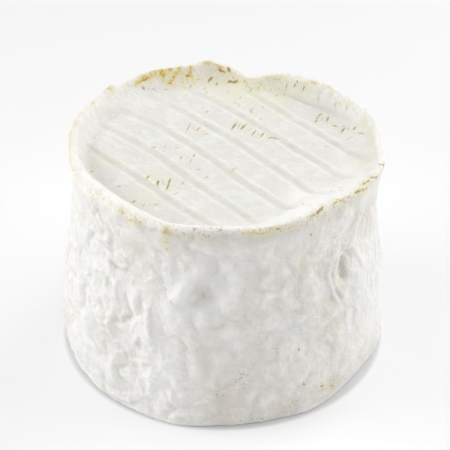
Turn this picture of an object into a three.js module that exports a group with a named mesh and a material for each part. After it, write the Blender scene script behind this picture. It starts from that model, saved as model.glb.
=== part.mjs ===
// A small, tall wheel of soft white-rinded cheese, whole and uncut.
// One solid: a squat cylinder that has slumped a little on its foot, with a neck under the rim, a dished top
// inside a raised uneven rim, the shallow parallel grooves that a draining rack presses into the top, and the
// dents, ridges and lobes of a hand-turned side. Millimetres, +Z up, standing on z = 0, centred on its own box.
import * as THREE from "three";

// ---- driving dimensions ------------------------------------------------------------------------------------
const RIM_LEVEL = 63.0; // height that the crest of the rim wanders about
const MEAN_RIM = 43.2; // mean outer radius at the rim
const FOOT_ROUND = 1.2; // rounding where the side turns under
const STEP = 15; // the six tables below go round the wheel in steps of this many degrees, from +X towards +Y
const RIM_RADIUS = [42.9, 43.4, 43.5, 43.4, 43.0, 42.9, 43.1, 43.6, 43.9, 43.6, 43.0, 43.0, 42.6, 42.7, 42.8, 42.9, 43.4, 43.8, 43.4, 43.7, 43.1, 42.5, 42.7, 43.5];
const CREST_RISE = [0.3, 0.9, 0.5, 0.4, 0.3, 0.4, 0.2, 0.5, 0.7, 0.25, 0.75, 0.75, 0.35, 0.0, 0.0, 0.1, -0.1, -0.1, 0.1, -0.1, 0.7, 0.7, 0.1, 0.0];
const EDGE_ROUND = [1.3, 1.3, 1.4, 1.4, 1.4, 1.5, 1.0, 0.9, 0.9, 1.0, 1.1, 1.2, 1.5, 1.9, 2.1, 2.1, 1.9, 1.4, 1.2, 1.0, 0.9, 0.9, 0.9, 1.0];
const SLOPE_RUN = [9.5, 9.0, 8.5, 7.4, 6.2, 5.6, 5.2, 5.0, 5.0, 5.2, 5.2, 5.2, 5.2, 5.2, 5.4, 5.6, 6.0, 6.6, 8.0, 10.5, 13.5, 15.0, 13.5, 11.5];
// 1 where the inner slope eases in and out, 0 where it drops steeply under the crest
const SLOPE_SOFT = [0.2, 0, 0, 0, 0, 0, 0, 0, 0, 0, 0, 0, 0, 0, 0, 0, 0.1, 0.4, 0.7, 1, 1, 1, 1, 0.6];
// how far the outline of the foot lies out from, or in from, its plain section
const FOOT_REACH = [-0.3, 0, 0, 0, 0, 0, 0, 0, 0, 0, 0, 0, 0, -0.2, -0.5, -0.7, -0.2, 0.3, -0.7, -1.0, -0.6, -1.6, -1.9, -0.9];
const FOOT_REACH_HEIGHT = 6;
// where the flat bead inside the crest is wider
const BEAD = { angle: 222, halfWidth: 28, extra: 1.4 };

// Local features of the rim: angle, half width in degrees, rise, outward.
const RIM_LUMPS = [
  [97.0, 5.0, 1.3, 0.3], // the torn peak of the lip
  [139.0, 3.2, 0.9, 0.3], // a knob
  [78.0, 6.5, -1.75, -0.3], // the notch beside the peak
  [69.0, 5.0, -0.45, 0.0],
  [349.0, 6.0, 0.0, 0.4],
  [309.0, 7.0, -0.25, -0.35],
  [250.0, 5.0, -0.2, 0.3],
  [120.0, 5.0, 0.35, 0.1],
];
const NOTCH_SHOULDER = { angle: 80, halfWidth: 7, extraRound: 2.2 };

// Side of the wheel: height and radius of its section, foot to rim.
const WALL = [
  [0, 45.4], [5, 45.5], [10, 45.4], [16, 44.95], [22, 44.5], [28, 44.0], [34, 43.35],
  [40, 42.7], [46, 42.15], [51, 42.05], [55, 42.3], [59, 42.8], [63, 43.2], [66, 43.2],
];
// Slow lobes of the foot: count round the wheel, size, phase.
const FOOT_LOBES = [[2, 0.15, -0.6], [5, 0.15, 1.3], [7, 0.1, -0.4], [11, 0.1, 2.0]];
const FOOT_LOBE_HEIGHT = 22;
// Lumps and dents of the side: angle, height, half width round, half height, outward.
const SIDE_LUMPS = [
  [263.6, 41.4, 4.4, 4.2, -2.3], // the deep dimple
  [256.0, 46.0, 2.8, 6.5, 0.7], // its left ridge
  [273.2, 43.0, 2.6, 5.5, 0.6], // its right ridge
  [264.0, 55.0, 7.0, 4.0, 0.35],
  [318.0, 39.5, 3.0, 6.5, -0.9], // the pocket of a leaf-shaped crease
  [309.5, 41.0, 1.8, 7.0, 0.35], // its raised lip
  [326.5, 41.0, 2.6, 6.0, 0.35],
  [351.5, 30.5, 6.0, 4.2, 0.85], // a flap of rind
  [353.0, 14.0, 10.0, 7.5, -1.15],
  [198.0, 0.0, 9.0, 9.0, -0.9],
  [306.0, 0.0, 6.0, 8.0, 0.55],
  [236.0, 0.0, 7.0, 7.0, 0.75],
  [249.0, 0.0, 6.0, 6.0, 0.35],
  [223.0, 0.0, 5.0, 6.0, 0.35],
  [352.0, 50.0, 9.0, 8.0, -0.3],
  [288.0, 40.0, 5.0, 4.5, -0.35],
  [186.0, 52.0, 9.0, 7.0, -0.45],
  [187.0, 14.0, 10.0, 9.0, 0.35],
  [249.0, 14.0, 9.0, 12.0, 0.55],
  [305.0, 8.0, 8.0, 9.0, 0.35],
  [234.0, 15.0, 8.0, 6.0, -0.7],
  [243.5, 30.0, 2.0, 9.0, 0.7],
  [232.0, 40.0, 3.5, 6.0, -0.5],
  [222.0, 30.0, 4.0, 9.0, 0.5],
  [210.0, 38.0, 5.0, 7.0, -0.45],
  [232.0, 56.0, 7.0, 3.5, -0.6],
  [218.0, 55.0, 5.0, 4.5, 0.4],
  [278.0, 20.0, 9.0, 8.0, -0.35],
  [330.0, 20.0, 10.0, 12.0, 0.3],
  [160.0, 35.0, 9.0, 10.0, -0.6],
  [140.0, 20.0, 9.0, 9.0, 0.5],
  [120.0, 44.0, 8.0, 8.0, -0.5],
  [98.0, 28.0, 9.0, 10.0, 0.5],
  [75.0, 46.0, 8.0, 7.0, -0.6],
  [60.0, 22.0, 9.0, 10.0, 0.5],
  [40.0, 40.0, 8.0, 9.0, -0.5],
  [18.0, 24.0, 9.0, 10.0, 0.45],
  [5.0, 44.0, 7.0, 8.0, -0.4],
];

// Dish: depth of its crown below the rim level, and how it falls away from the crown's centre.
const CROWN_DEPTH = 3.7;
const CROWN_FALL = 0.0006;
const CROWN_X = -1.6;
const CROWN_Y = 11.3;
// Rack grooves in the dish.
const GROOVE_COUNT = 8;
const GROOVE_DEGREES = -50.2;
const GROOVE_FIRST = -36.5; // offset of the first groove from the axis
const GROOVE_PITCH = 10.53;
const GROOVE_HALF = 0.95;
const GROOVE_DEPTH = 0.46;
// How far each groove lies off the even spacing, at places along it.
const BEND_STEP = 12;
const GROOVE_BENDS = [
  [-1.0, -1.2, -1.9, -3.2, -2.4, -2.0, -2.0],
  [-1.2, -0.4, 0.35, 0.7, 0.8, 1.9, 2.2],
  [-1.8, -0.1, 0.8, 0.25, 0.4, 0.6, 0.6],
  [-2.6, -0.4, 0.4, 0.35, -0.4, 0.1, 0.5],
  [-1.7, -0.3, 0.1, 0.4, 0.2, 0.15, -0.6],
  [-1.8, 0.0, 0.3, 0.7, 0.55, 0.9, 0.3],
  [0.3, 0.5, 0.5, 0.25, 0.7, 0.8, -1.8],
  [-3.5, -3.2, -1.8, 0.85, 1.0, 1.0, 0.8],
];

// ---- resolution --------------------------------------------------------------------------------------------
const COLUMNS = 112;
const FOOT_ROWS = 2;
const SIDE_ROWS = 21;
const EDGE_ROWS = 3;
const RING = 38; // radius of the circle where the rings of the inner slope end
const RING_SHARES = [0.92, 0.8, 0.62, 0.38, 0];
const FIELD = 36.8; // radius of the grooved field
const ALONG = 3.6; // spacing of its points along the grooves

// ---- shape -------------------------------------------------------------------------------------------------
const radians = (d) => (d * Math.PI) / 180;
const bell = (x) => Math.exp(-x * x);
const clamp = (x) => Math.min(Math.max(x, 0), 1);
const ease = (x) => clamp(x) ** 2 * (3 - 2 * clamp(x));
const turn = (d, centre) => ((((d - centre + 180) % 360) + 360) % 360) - 180;

// Smooth periodic curve through one of the tables.
function station(table, degrees) {
  const n = table.length;
  const u = (((degrees % 360) + 360) % 360) / STEP;
  const i = Math.floor(u);
  const f = u - i;
  const [a, b, c, d] = [-1, 0, 1, 2].map((k) => table[(i + k + n) % n]);
  return 0.5 * (2 * b + (c - a) * f + (2 * a - 5 * b + 4 * c - d) * f * f + (3 * b - a - 3 * c + d) * f ** 3);
}

const rimRadius = (deg) => RIM_LUMPS.reduce((r, [at, half, , out]) => r + out * bell(turn(deg, at) / half), station(RIM_RADIUS, deg));
const crestHeight = (deg) => RIM_LUMPS.reduce((z, [at, half, rise]) => z + rise * bell(turn(deg, at) / half), RIM_LEVEL + station(CREST_RISE, deg));
const edgeRound = (deg) => station(EDGE_ROUND, deg) + NOTCH_SHOULDER.extraRound * bell(turn(deg, NOTCH_SHOULDER.angle) / NOTCH_SHOULDER.halfWidth);

// Radius of the plain section at a height: a smooth curve through WALL.
function wallRadius(z) {
  const last = WALL.length - 1;
  const h = Math.min(Math.max(z, WALL[0][0]), WALL[last][0]);
  let i = 0;
  while (i < last - 1 && WALL[i + 1][0] <= h) i++;
  const slope = (k) => {
    const lo = Math.max(k - 1, 0);
    const hi = Math.min(k + 1, last);
    return (WALL[hi][1] - WALL[lo][1]) / (WALL[hi][0] - WALL[lo][0]);
  };
  const span = WALL[i + 1][0] - WALL[i][0];
  const t = (h - WALL[i][0]) / span;
  return (
    (2 * t ** 3 - 3 * t * t + 1) * WALL[i][1] +
    (t ** 3 - 2 * t * t + t) * span * slope(i) +
    (3 * t * t - 2 * t ** 3) * WALL[i + 1][1] +
    (t ** 3 - t * t) * span * slope(i + 1)
  );
}

// Radius of the side at an angle and a height.
function sideRadius(deg, z) {
  const k = Math.min(Math.max((z - 30) / 33, 0), 1);
  const blend = k * k * (3 - 2 * k); // the rim's own outline fades out down the side
  let r = wallRadius(z) + (rimRadius(deg) - MEAN_RIM) * (0.15 + 0.85 * blend);
  const low = bell(z / FOOT_LOBE_HEIGHT);
  for (const [count, size, phase] of FOOT_LOBES) r += low * size * Math.cos(count * radians(deg) + phase);
  r += bell(z / FOOT_REACH_HEIGHT) * station(FOOT_REACH, deg);
  for (const [at, height, halfRound, halfUp, out] of SIDE_LUMPS) {
    const a = radians(turn(deg, at)) * MEAN_RIM;
    r += out * Math.exp(-((a / halfRound) ** 2) - ((z - height) / halfUp) ** 2);
  }
  return r;
}

// Height of the top at a place in plan, inside the crest.
function topHeight(x, y) {
  const radius = Math.hypot(x, y);
  const deg = (Math.atan2(y, x) * 180) / Math.PI;
  const round = edgeRound(deg);
  const crest = rimRadius(deg) - round;
  const level = crestHeight(deg);
  const bead = 0.3 * (0.35 * round + 0.25) + BEAD.extra * bell(turn(deg, BEAD.angle) / BEAD.halfWidth);
  const inward = Math.max(crest - radius, 0) - bead;
  const t = clamp(inward / station(SLOPE_RUN, deg));
  const floor = RIM_LEVEL - CROWN_DEPTH - CROWN_FALL * ((x - CROWN_X) ** 2 + (y - CROWN_Y) ** 2);
  const soft = clamp(station(SLOPE_SOFT, deg));
  const steep = (1 - (1 - t) ** 2.8) * ease((inward + 0.1) / 0.9);
  return level + (floor - level) * (soft * ease(t) + (1 - soft) * steep);
}

// How far groove k lies off the even spacing, a distance s along it.
function grooveBend(k, s) {
  const row = GROOVE_BENDS[Math.min(Math.max(k, 0), GROOVE_COUNT - 1)];
  const u = Math.min(Math.max(s / BEND_STEP + (row.length - 1) / 2, 0), row.length - 1);
  const i = Math.min(Math.floor(u), row.length - 2);
  return row[i] + (row[i + 1] - row[i]) * ease(u - i);
}

// ---- mesh --------------------------------------------------------------------------------------------------
const points = [];
const faces = [];
const add = (x, y, z) => points.push(x, y, z) / 3 - 1;
const ringOf = (place) =>
  Array.from({ length: COLUMNS }, (_, i) => {
    const deg = (360 * i) / COLUMNS;
    const [r, z] = place(deg);
    return add(r * Math.cos(radians(deg)), r * Math.sin(radians(deg)), z);
  });
// Joins two rings, the lower or outer one first, with faces outward.
const band = (a, b) => a.forEach((_, i) => {
  const j = (i + 1) % COLUMNS;
  faces.push(a[i], a[j], b[j], a[i], b[j], b[i]);
});

const rings = [];
for (let i = 0; i <= FOOT_ROWS; i++) {
  const a = (Math.PI / 2) * (1 - i / FOOT_ROWS);
  rings.push(ringOf((deg) => [sideRadius(deg, FOOT_ROUND) - FOOT_ROUND * (1 - Math.cos(a)), FOOT_ROUND * (1 - Math.sin(a))]));
}
for (let i = 1; i < SIDE_ROWS; i++)
  rings.push(ringOf((deg) => {
    const top = crestHeight(deg) - edgeRound(deg);
    const z = FOOT_ROUND + ((top - FOOT_ROUND) * i) / SIDE_ROWS;
    return [sideRadius(deg, z), z];
  }));
for (let i = 0; i <= EDGE_ROWS; i++) {
  const a = (Math.PI / 2) * (i / EDGE_ROWS);
  rings.push(ringOf((deg) => {
    const round = edgeRound(deg);
    const z = crestHeight(deg) - round;
    return [sideRadius(deg, z) - round * (1 - Math.cos(a)), z + round * Math.sin(a)];
  }));
}
for (const share of RING_SHARES)
  rings.push(ringOf((deg) => {
    const round = edgeRound(deg);
    const crest = sideRadius(deg, crestHeight(deg) - round) - round;
    const r = RING + (crest - RING) * share;
    return [r, topHeight(r * Math.cos(radians(deg)), r * Math.sin(radians(deg)))];
  }));
for (let i = 1; i < rings.length; i++) band(rings[i - 1], rings[i]);

// The flat underside.
const centre = add(0, 0, 0);
rings[0].forEach((v, i) => faces.push(centre, rings[0][(i + 1) % COLUMNS], v));

// The grooved field: rows of points along the grooves, in the frame (along, across).
const along = new THREE.Vector2(Math.cos(radians(GROOVE_DEGREES)), Math.sin(radians(GROOVE_DEGREES)));
const across = new THREE.Vector2(-along.y, along.x);
const offsets = new Map([[-FIELD, [0, 0]], [FIELD, [0, 0]]]); // offset of a row, its depth, and its place among the grooves
for (let k = 0; k < GROOVE_COUNT; k++) {
  const c = GROOVE_FIRST + k * GROOVE_PITCH;
  for (const [shift, depth] of [[-GROOVE_HALF, 0], [0, GROOVE_DEPTH], [GROOVE_HALF, 0], [GROOVE_PITCH * 0.33, 0], [GROOVE_PITCH * 0.67, 0]])
    if (Math.abs(c + shift) < FIELD - 0.6) offsets.set(c + shift, [depth, k + Math.max(0, shift - GROOVE_HALF) / (GROOVE_PITCH - 2 * GROOVE_HALF)]);
}
const rows = [...offsets].sort((a, b) => a[0] - b[0]).map(([c, [depth, place]]) => {
  const end = Math.abs(c) === FIELD;
  const inner = FIELD - 0.6;
  const half = end ? Math.sqrt(FIELD ** 2 - inner ** 2) * 0.8 : Math.sqrt(FIELD ** 2 - c * c);
  const n = Math.max(end ? 3 : 2, Math.round((2 * half) / ALONG));
  return Array.from({ length: n + 1 }, (_, i) => {
    const s = half * ((2 * i) / n - 1);
    const fade = clamp((half - Math.abs(s)) / 4); // grooves run out towards the rim
    const share = ease(place - Math.floor(place));
    const bend = (1 - share) * grooveBend(Math.floor(place), s) + share * grooveBend(Math.floor(place) + 1, s);
    const room = clamp((FIELD - Math.abs(c)) / 4);
    // the two end rows follow the field's own circle, and the rest bend with the grooves
    const o = end ? Math.sign(c) * Math.sqrt(FIELD ** 2 - s * s) : c + bend * ease((half - Math.abs(s)) / 7) * room;
    const x = along.x * s + across.x * o;
    const y = along.y * s + across.y * o;
    return { s, x, y, v: add(x, y, topHeight(x, y) - depth * fade) };
  });
});
for (let k = 1; k < rows.length; k++) {
  const [a, b] = [rows[k - 1], rows[k]];
  let i = 0;
  let j = 0;
  while (i < a.length - 1 || j < b.length - 1) {
    if (j === b.length - 1 || (i < a.length - 1 && a[i + 1].s <= b[j + 1].s)) faces.push(a[i].v, a[++i].v, b[j].v);
    else faces.push(a[i].v, b[j + 1].v, b[j++].v);
  }
}

// The strip between the field and the last ring of the slope: both loops go round by angle, and are zipped together.
const lastRing = rings[rings.length - 1];
const middle = rows.slice(1, -1);
const edge = [...rows[0], ...middle.flatMap((r) => [r[0], r[r.length - 1]]), ...rows[rows.length - 1]];
const loop = (ids) => ids.map((v) => ({ v, at: Math.atan2(points[3 * v + 1], points[3 * v]) })).sort((a, b) => a.at - b.at);
const wrap = (list) => [...list, { v: list[0].v, at: list[0].at + 2 * Math.PI }];
const outer = wrap(loop(lastRing));
const inner = wrap(loop(edge.map((p) => p.v)));
for (let i = 0, j = 0; i < outer.length - 1 || j < inner.length - 1; ) {
  if (j === inner.length - 1 || (i < outer.length - 1 && outer[i + 1].at <= inner[j + 1].at)) faces.push(inner[j].v, outer[i].v, outer[++i].v);
  else faces.push(inner[j].v, outer[i].v, inner[++j].v);
}

const geometry = new THREE.BufferGeometry();
geometry.setAttribute("position", new THREE.Float32BufferAttribute(points, 3));
geometry.setIndex(faces);
geometry.computeBoundingBox();
const box = geometry.boundingBox;
geometry.translate(-(box.min.x + box.max.x) / 2, -(box.min.y + box.max.y) / 2, -box.min.z);
geometry.computeVertexNormals();

const rind = new THREE.MeshStandardMaterial({ color: 0xeeebe3, roughness: 0.86, metalness: 0 });
const wheel = new THREE.Mesh(geometry, rind);
wheel.name = "cheese_wheel";

const root = new THREE.Group();
root.add(wheel);
export default root;
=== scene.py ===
"""Looks of a small, tall wheel of soft white-rinded cheese: one closed rind mesh, a velvety white material with
browned spots, a pale floor and soft studio light. Lengths in the tables are millimetres, angles are degrees from +X
towards +Y; the tables are in the wheel's own axis frame, and everything is moved to the row frame at the end."""
import math

import bpy
import numpy as np
from mathutils import Matrix, Vector


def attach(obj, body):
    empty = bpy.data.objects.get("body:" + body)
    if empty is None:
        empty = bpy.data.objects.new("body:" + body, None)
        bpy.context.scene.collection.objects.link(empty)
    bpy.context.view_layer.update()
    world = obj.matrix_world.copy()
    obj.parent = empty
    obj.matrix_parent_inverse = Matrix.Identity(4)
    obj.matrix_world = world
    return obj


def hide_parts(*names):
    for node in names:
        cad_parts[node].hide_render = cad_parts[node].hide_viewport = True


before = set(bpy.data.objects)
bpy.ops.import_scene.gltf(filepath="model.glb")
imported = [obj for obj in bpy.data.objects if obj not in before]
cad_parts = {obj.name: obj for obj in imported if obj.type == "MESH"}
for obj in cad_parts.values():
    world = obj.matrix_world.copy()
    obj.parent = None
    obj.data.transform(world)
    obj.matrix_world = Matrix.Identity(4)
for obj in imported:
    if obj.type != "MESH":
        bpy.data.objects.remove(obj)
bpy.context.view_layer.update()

MM = 0.001

# ---------------------------------------------------------------------------------------------------------------
# Shape: the same driving sizes as the CAD solid
# ---------------------------------------------------------------------------------------------------------------
RIM_LEVEL = 63.0
MEAN_RIM = 43.2
FOOT_ROUND = 1.2
STEP = 15.0
RIM_RADIUS = [42.9, 43.4, 43.5, 43.4, 43.0, 42.9, 43.1, 43.6, 43.9, 43.6, 43.0, 43.0, 42.6, 42.7, 42.8, 42.9, 43.4, 43.8, 43.4, 43.7, 43.1, 42.5, 42.7, 43.5]
CREST_RISE = [0.3, 0.9, 0.5, 0.4, 0.3, 0.4, 0.2, 0.5, 0.7, 0.25, 0.75, 0.75, 0.35, 0.0, 0.0, 0.1, -0.1, -0.1, 0.1, -0.1, 0.7, 0.7, 0.1, 0.0]
EDGE_ROUND = [1.3, 1.3, 1.4, 1.4, 1.4, 1.5, 1.0, 0.9, 0.9, 1.0, 1.1, 1.2, 1.5, 1.9, 2.1, 2.1, 1.9, 1.4, 1.2, 1.0, 0.9, 0.9, 0.9, 1.0]
SLOPE_RUN = [9.5, 9.0, 8.5, 7.4, 6.2, 5.6, 5.2, 5.0, 5.0, 5.2, 5.2, 5.2, 5.2, 5.2, 5.4, 5.6, 6.0, 6.6, 8.0, 10.5, 13.5, 15.0, 13.5, 11.5]
SLOPE_SOFT = [0.2, 0.0, 0.0, 0.0, 0.0, 0.0, 0.0, 0.0, 0.0, 0.0, 0.0, 0.0, 0.0, 0.0, 0.0, 0.0, 0.1, 0.4, 0.7, 1.0, 1.0, 1.0, 1.0, 0.6]
FOOT_REACH = [-0.3, 0.0, 0.0, 0.0, 0.0, 0.0, 0.0, 0.0, 0.0, 0.0, 0.0, 0.0, 0.0, -0.2, -0.5, -0.7, -0.2, 0.3, -0.7, -1.0, -0.6, -1.6, -1.9, -0.9]
FOOT_REACH_HEIGHT = 6.0
BEAD_ANGLE, BEAD_SPREAD, BEAD_EXTRA = 222.0, 28.0, 1.4   # where the flat bead inside the crest is wider
RIM_LUMPS = [  # angle, half width in degrees, rise, outward
    (97.0, 5.0, 1.3, 0.3), (139.0, 3.2, 0.9, 0.3), (78.0, 6.5, -1.75, -0.3), (69.0, 5.0, -0.45, 0.0),
    (349.0, 6.0, 0.0, 0.4), (309.0, 7.0, -0.25, -0.35), (250.0, 5.0, -0.2, 0.3), (120.0, 5.0, 0.35, 0.1),
]
WALL_Z = [0.0, 5.0, 10.0, 16.0, 22.0, 28.0, 34.0, 40.0, 46.0, 51.0, 55.0, 59.0, 63.0, 66.0]
WALL_R = [45.4, 45.5, 45.4, 44.95, 44.5, 44.0, 43.35, 42.7, 42.15, 42.05, 42.3, 42.8, 43.2, 43.2]
FOOT_LOBES = [(2, 0.15, -0.6), (5, 0.15, 1.3), (7, 0.1, -0.4), (11, 0.1, 2.0)]
SIDE_LUMPS = [  # angle, height, half width round, half height, outward
    (263.6, 41.4, 4.4, 4.2, -2.3), (256.0, 46.0, 2.8, 6.5, 0.7), (273.2, 43.0, 2.6, 5.5, 0.6), (264.0, 55.0, 7.0, 4.0, 0.35),
    (318.0, 39.5, 3.0, 6.5, -0.9), (309.5, 41.0, 1.8, 7.0, 0.35), (326.5, 41.0, 2.6, 6.0, 0.35), (351.5, 30.5, 6.0, 4.2, 0.85),
    (353.0, 14.0, 10.0, 7.5, -1.15), (198.0, 0.0, 9.0, 9.0, -0.9), (306.0, 0.0, 6.0, 8.0, 0.55), (236.0, 0.0, 7.0, 7.0, 0.75),
    (249.0, 0.0, 6.0, 6.0, 0.35), (223.0, 0.0, 5.0, 6.0, 0.35), (352.0, 50.0, 9.0, 8.0, -0.3), (288.0, 40.0, 5.0, 4.5, -0.35),
    (186.0, 52.0, 9.0, 7.0, -0.45), (187.0, 14.0, 10.0, 9.0, 0.35), (249.0, 14.0, 9.0, 12.0, 0.55), (305.0, 8.0, 8.0, 9.0, 0.35),
    (234.0, 15.0, 8.0, 6.0, -0.7), (243.5, 30.0, 2.0, 9.0, 0.7), (232.0, 40.0, 3.5, 6.0, -0.5), (222.0, 30.0, 4.0, 9.0, 0.5),
    (210.0, 38.0, 5.0, 7.0, -0.45), (232.0, 56.0, 7.0, 3.5, -0.6), (218.0, 55.0, 5.0, 4.5, 0.4), (278.0, 20.0, 9.0, 8.0, -0.35),
    (330.0, 20.0, 10.0, 12.0, 0.3), (160.0, 35.0, 9.0, 10.0, -0.6), (140.0, 20.0, 9.0, 9.0, 0.5), (120.0, 44.0, 8.0, 8.0, -0.5),
    (98.0, 28.0, 9.0, 10.0, 0.5), (75.0, 46.0, 8.0, 7.0, -0.6), (60.0, 22.0, 9.0, 10.0, 0.5), (40.0, 40.0, 8.0, 9.0, -0.5),
    (18.0, 24.0, 9.0, 10.0, 0.45), (5.0, 44.0, 7.0, 8.0, -0.4),
]
CROWN_DEPTH, CROWN_FALL, CROWN_X, CROWN_Y = 3.7, 0.0006, -1.6, 11.3

# Grooves that a draining rack presses into the dish
GROOVE_DEGREES = -50.2
GROOVE_FIRST = -36.5
GROOVE_PITCH = 10.53
GROOVE_COUNT = 8
GROOVE_DEPTH = 0.46
GROOVE_HALF = 0.95
GROOVE_LIP = 0.07
GROOVE_BEND_STEP = 12.0
GROOVE_BENDS = [  # how far each groove lies off the even spacing, at places along it from -36 to 36
    (-1.0, -1.2, -1.9, -3.2, -2.4, -2.0, -2.0), (-1.2, -0.4, 0.35, 0.7, 0.8, 1.9, 2.2), (-1.8, -0.1, 0.8, 0.25, 0.4, 0.6, 0.6),
    (-2.6, -0.4, 0.4, 0.35, -0.4, 0.1, 0.5), (-1.7, -0.3, 0.1, 0.4, 0.2, 0.15, -0.6), (-1.8, 0.0, 0.3, 0.7, 0.55, 0.9, 0.3),
    (0.3, 0.5, 0.5, 0.25, 0.7, 0.8, -1.8), (-3.5, -3.2, -1.8, 0.85, 1.0, 1.0, 0.8),
]

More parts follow.
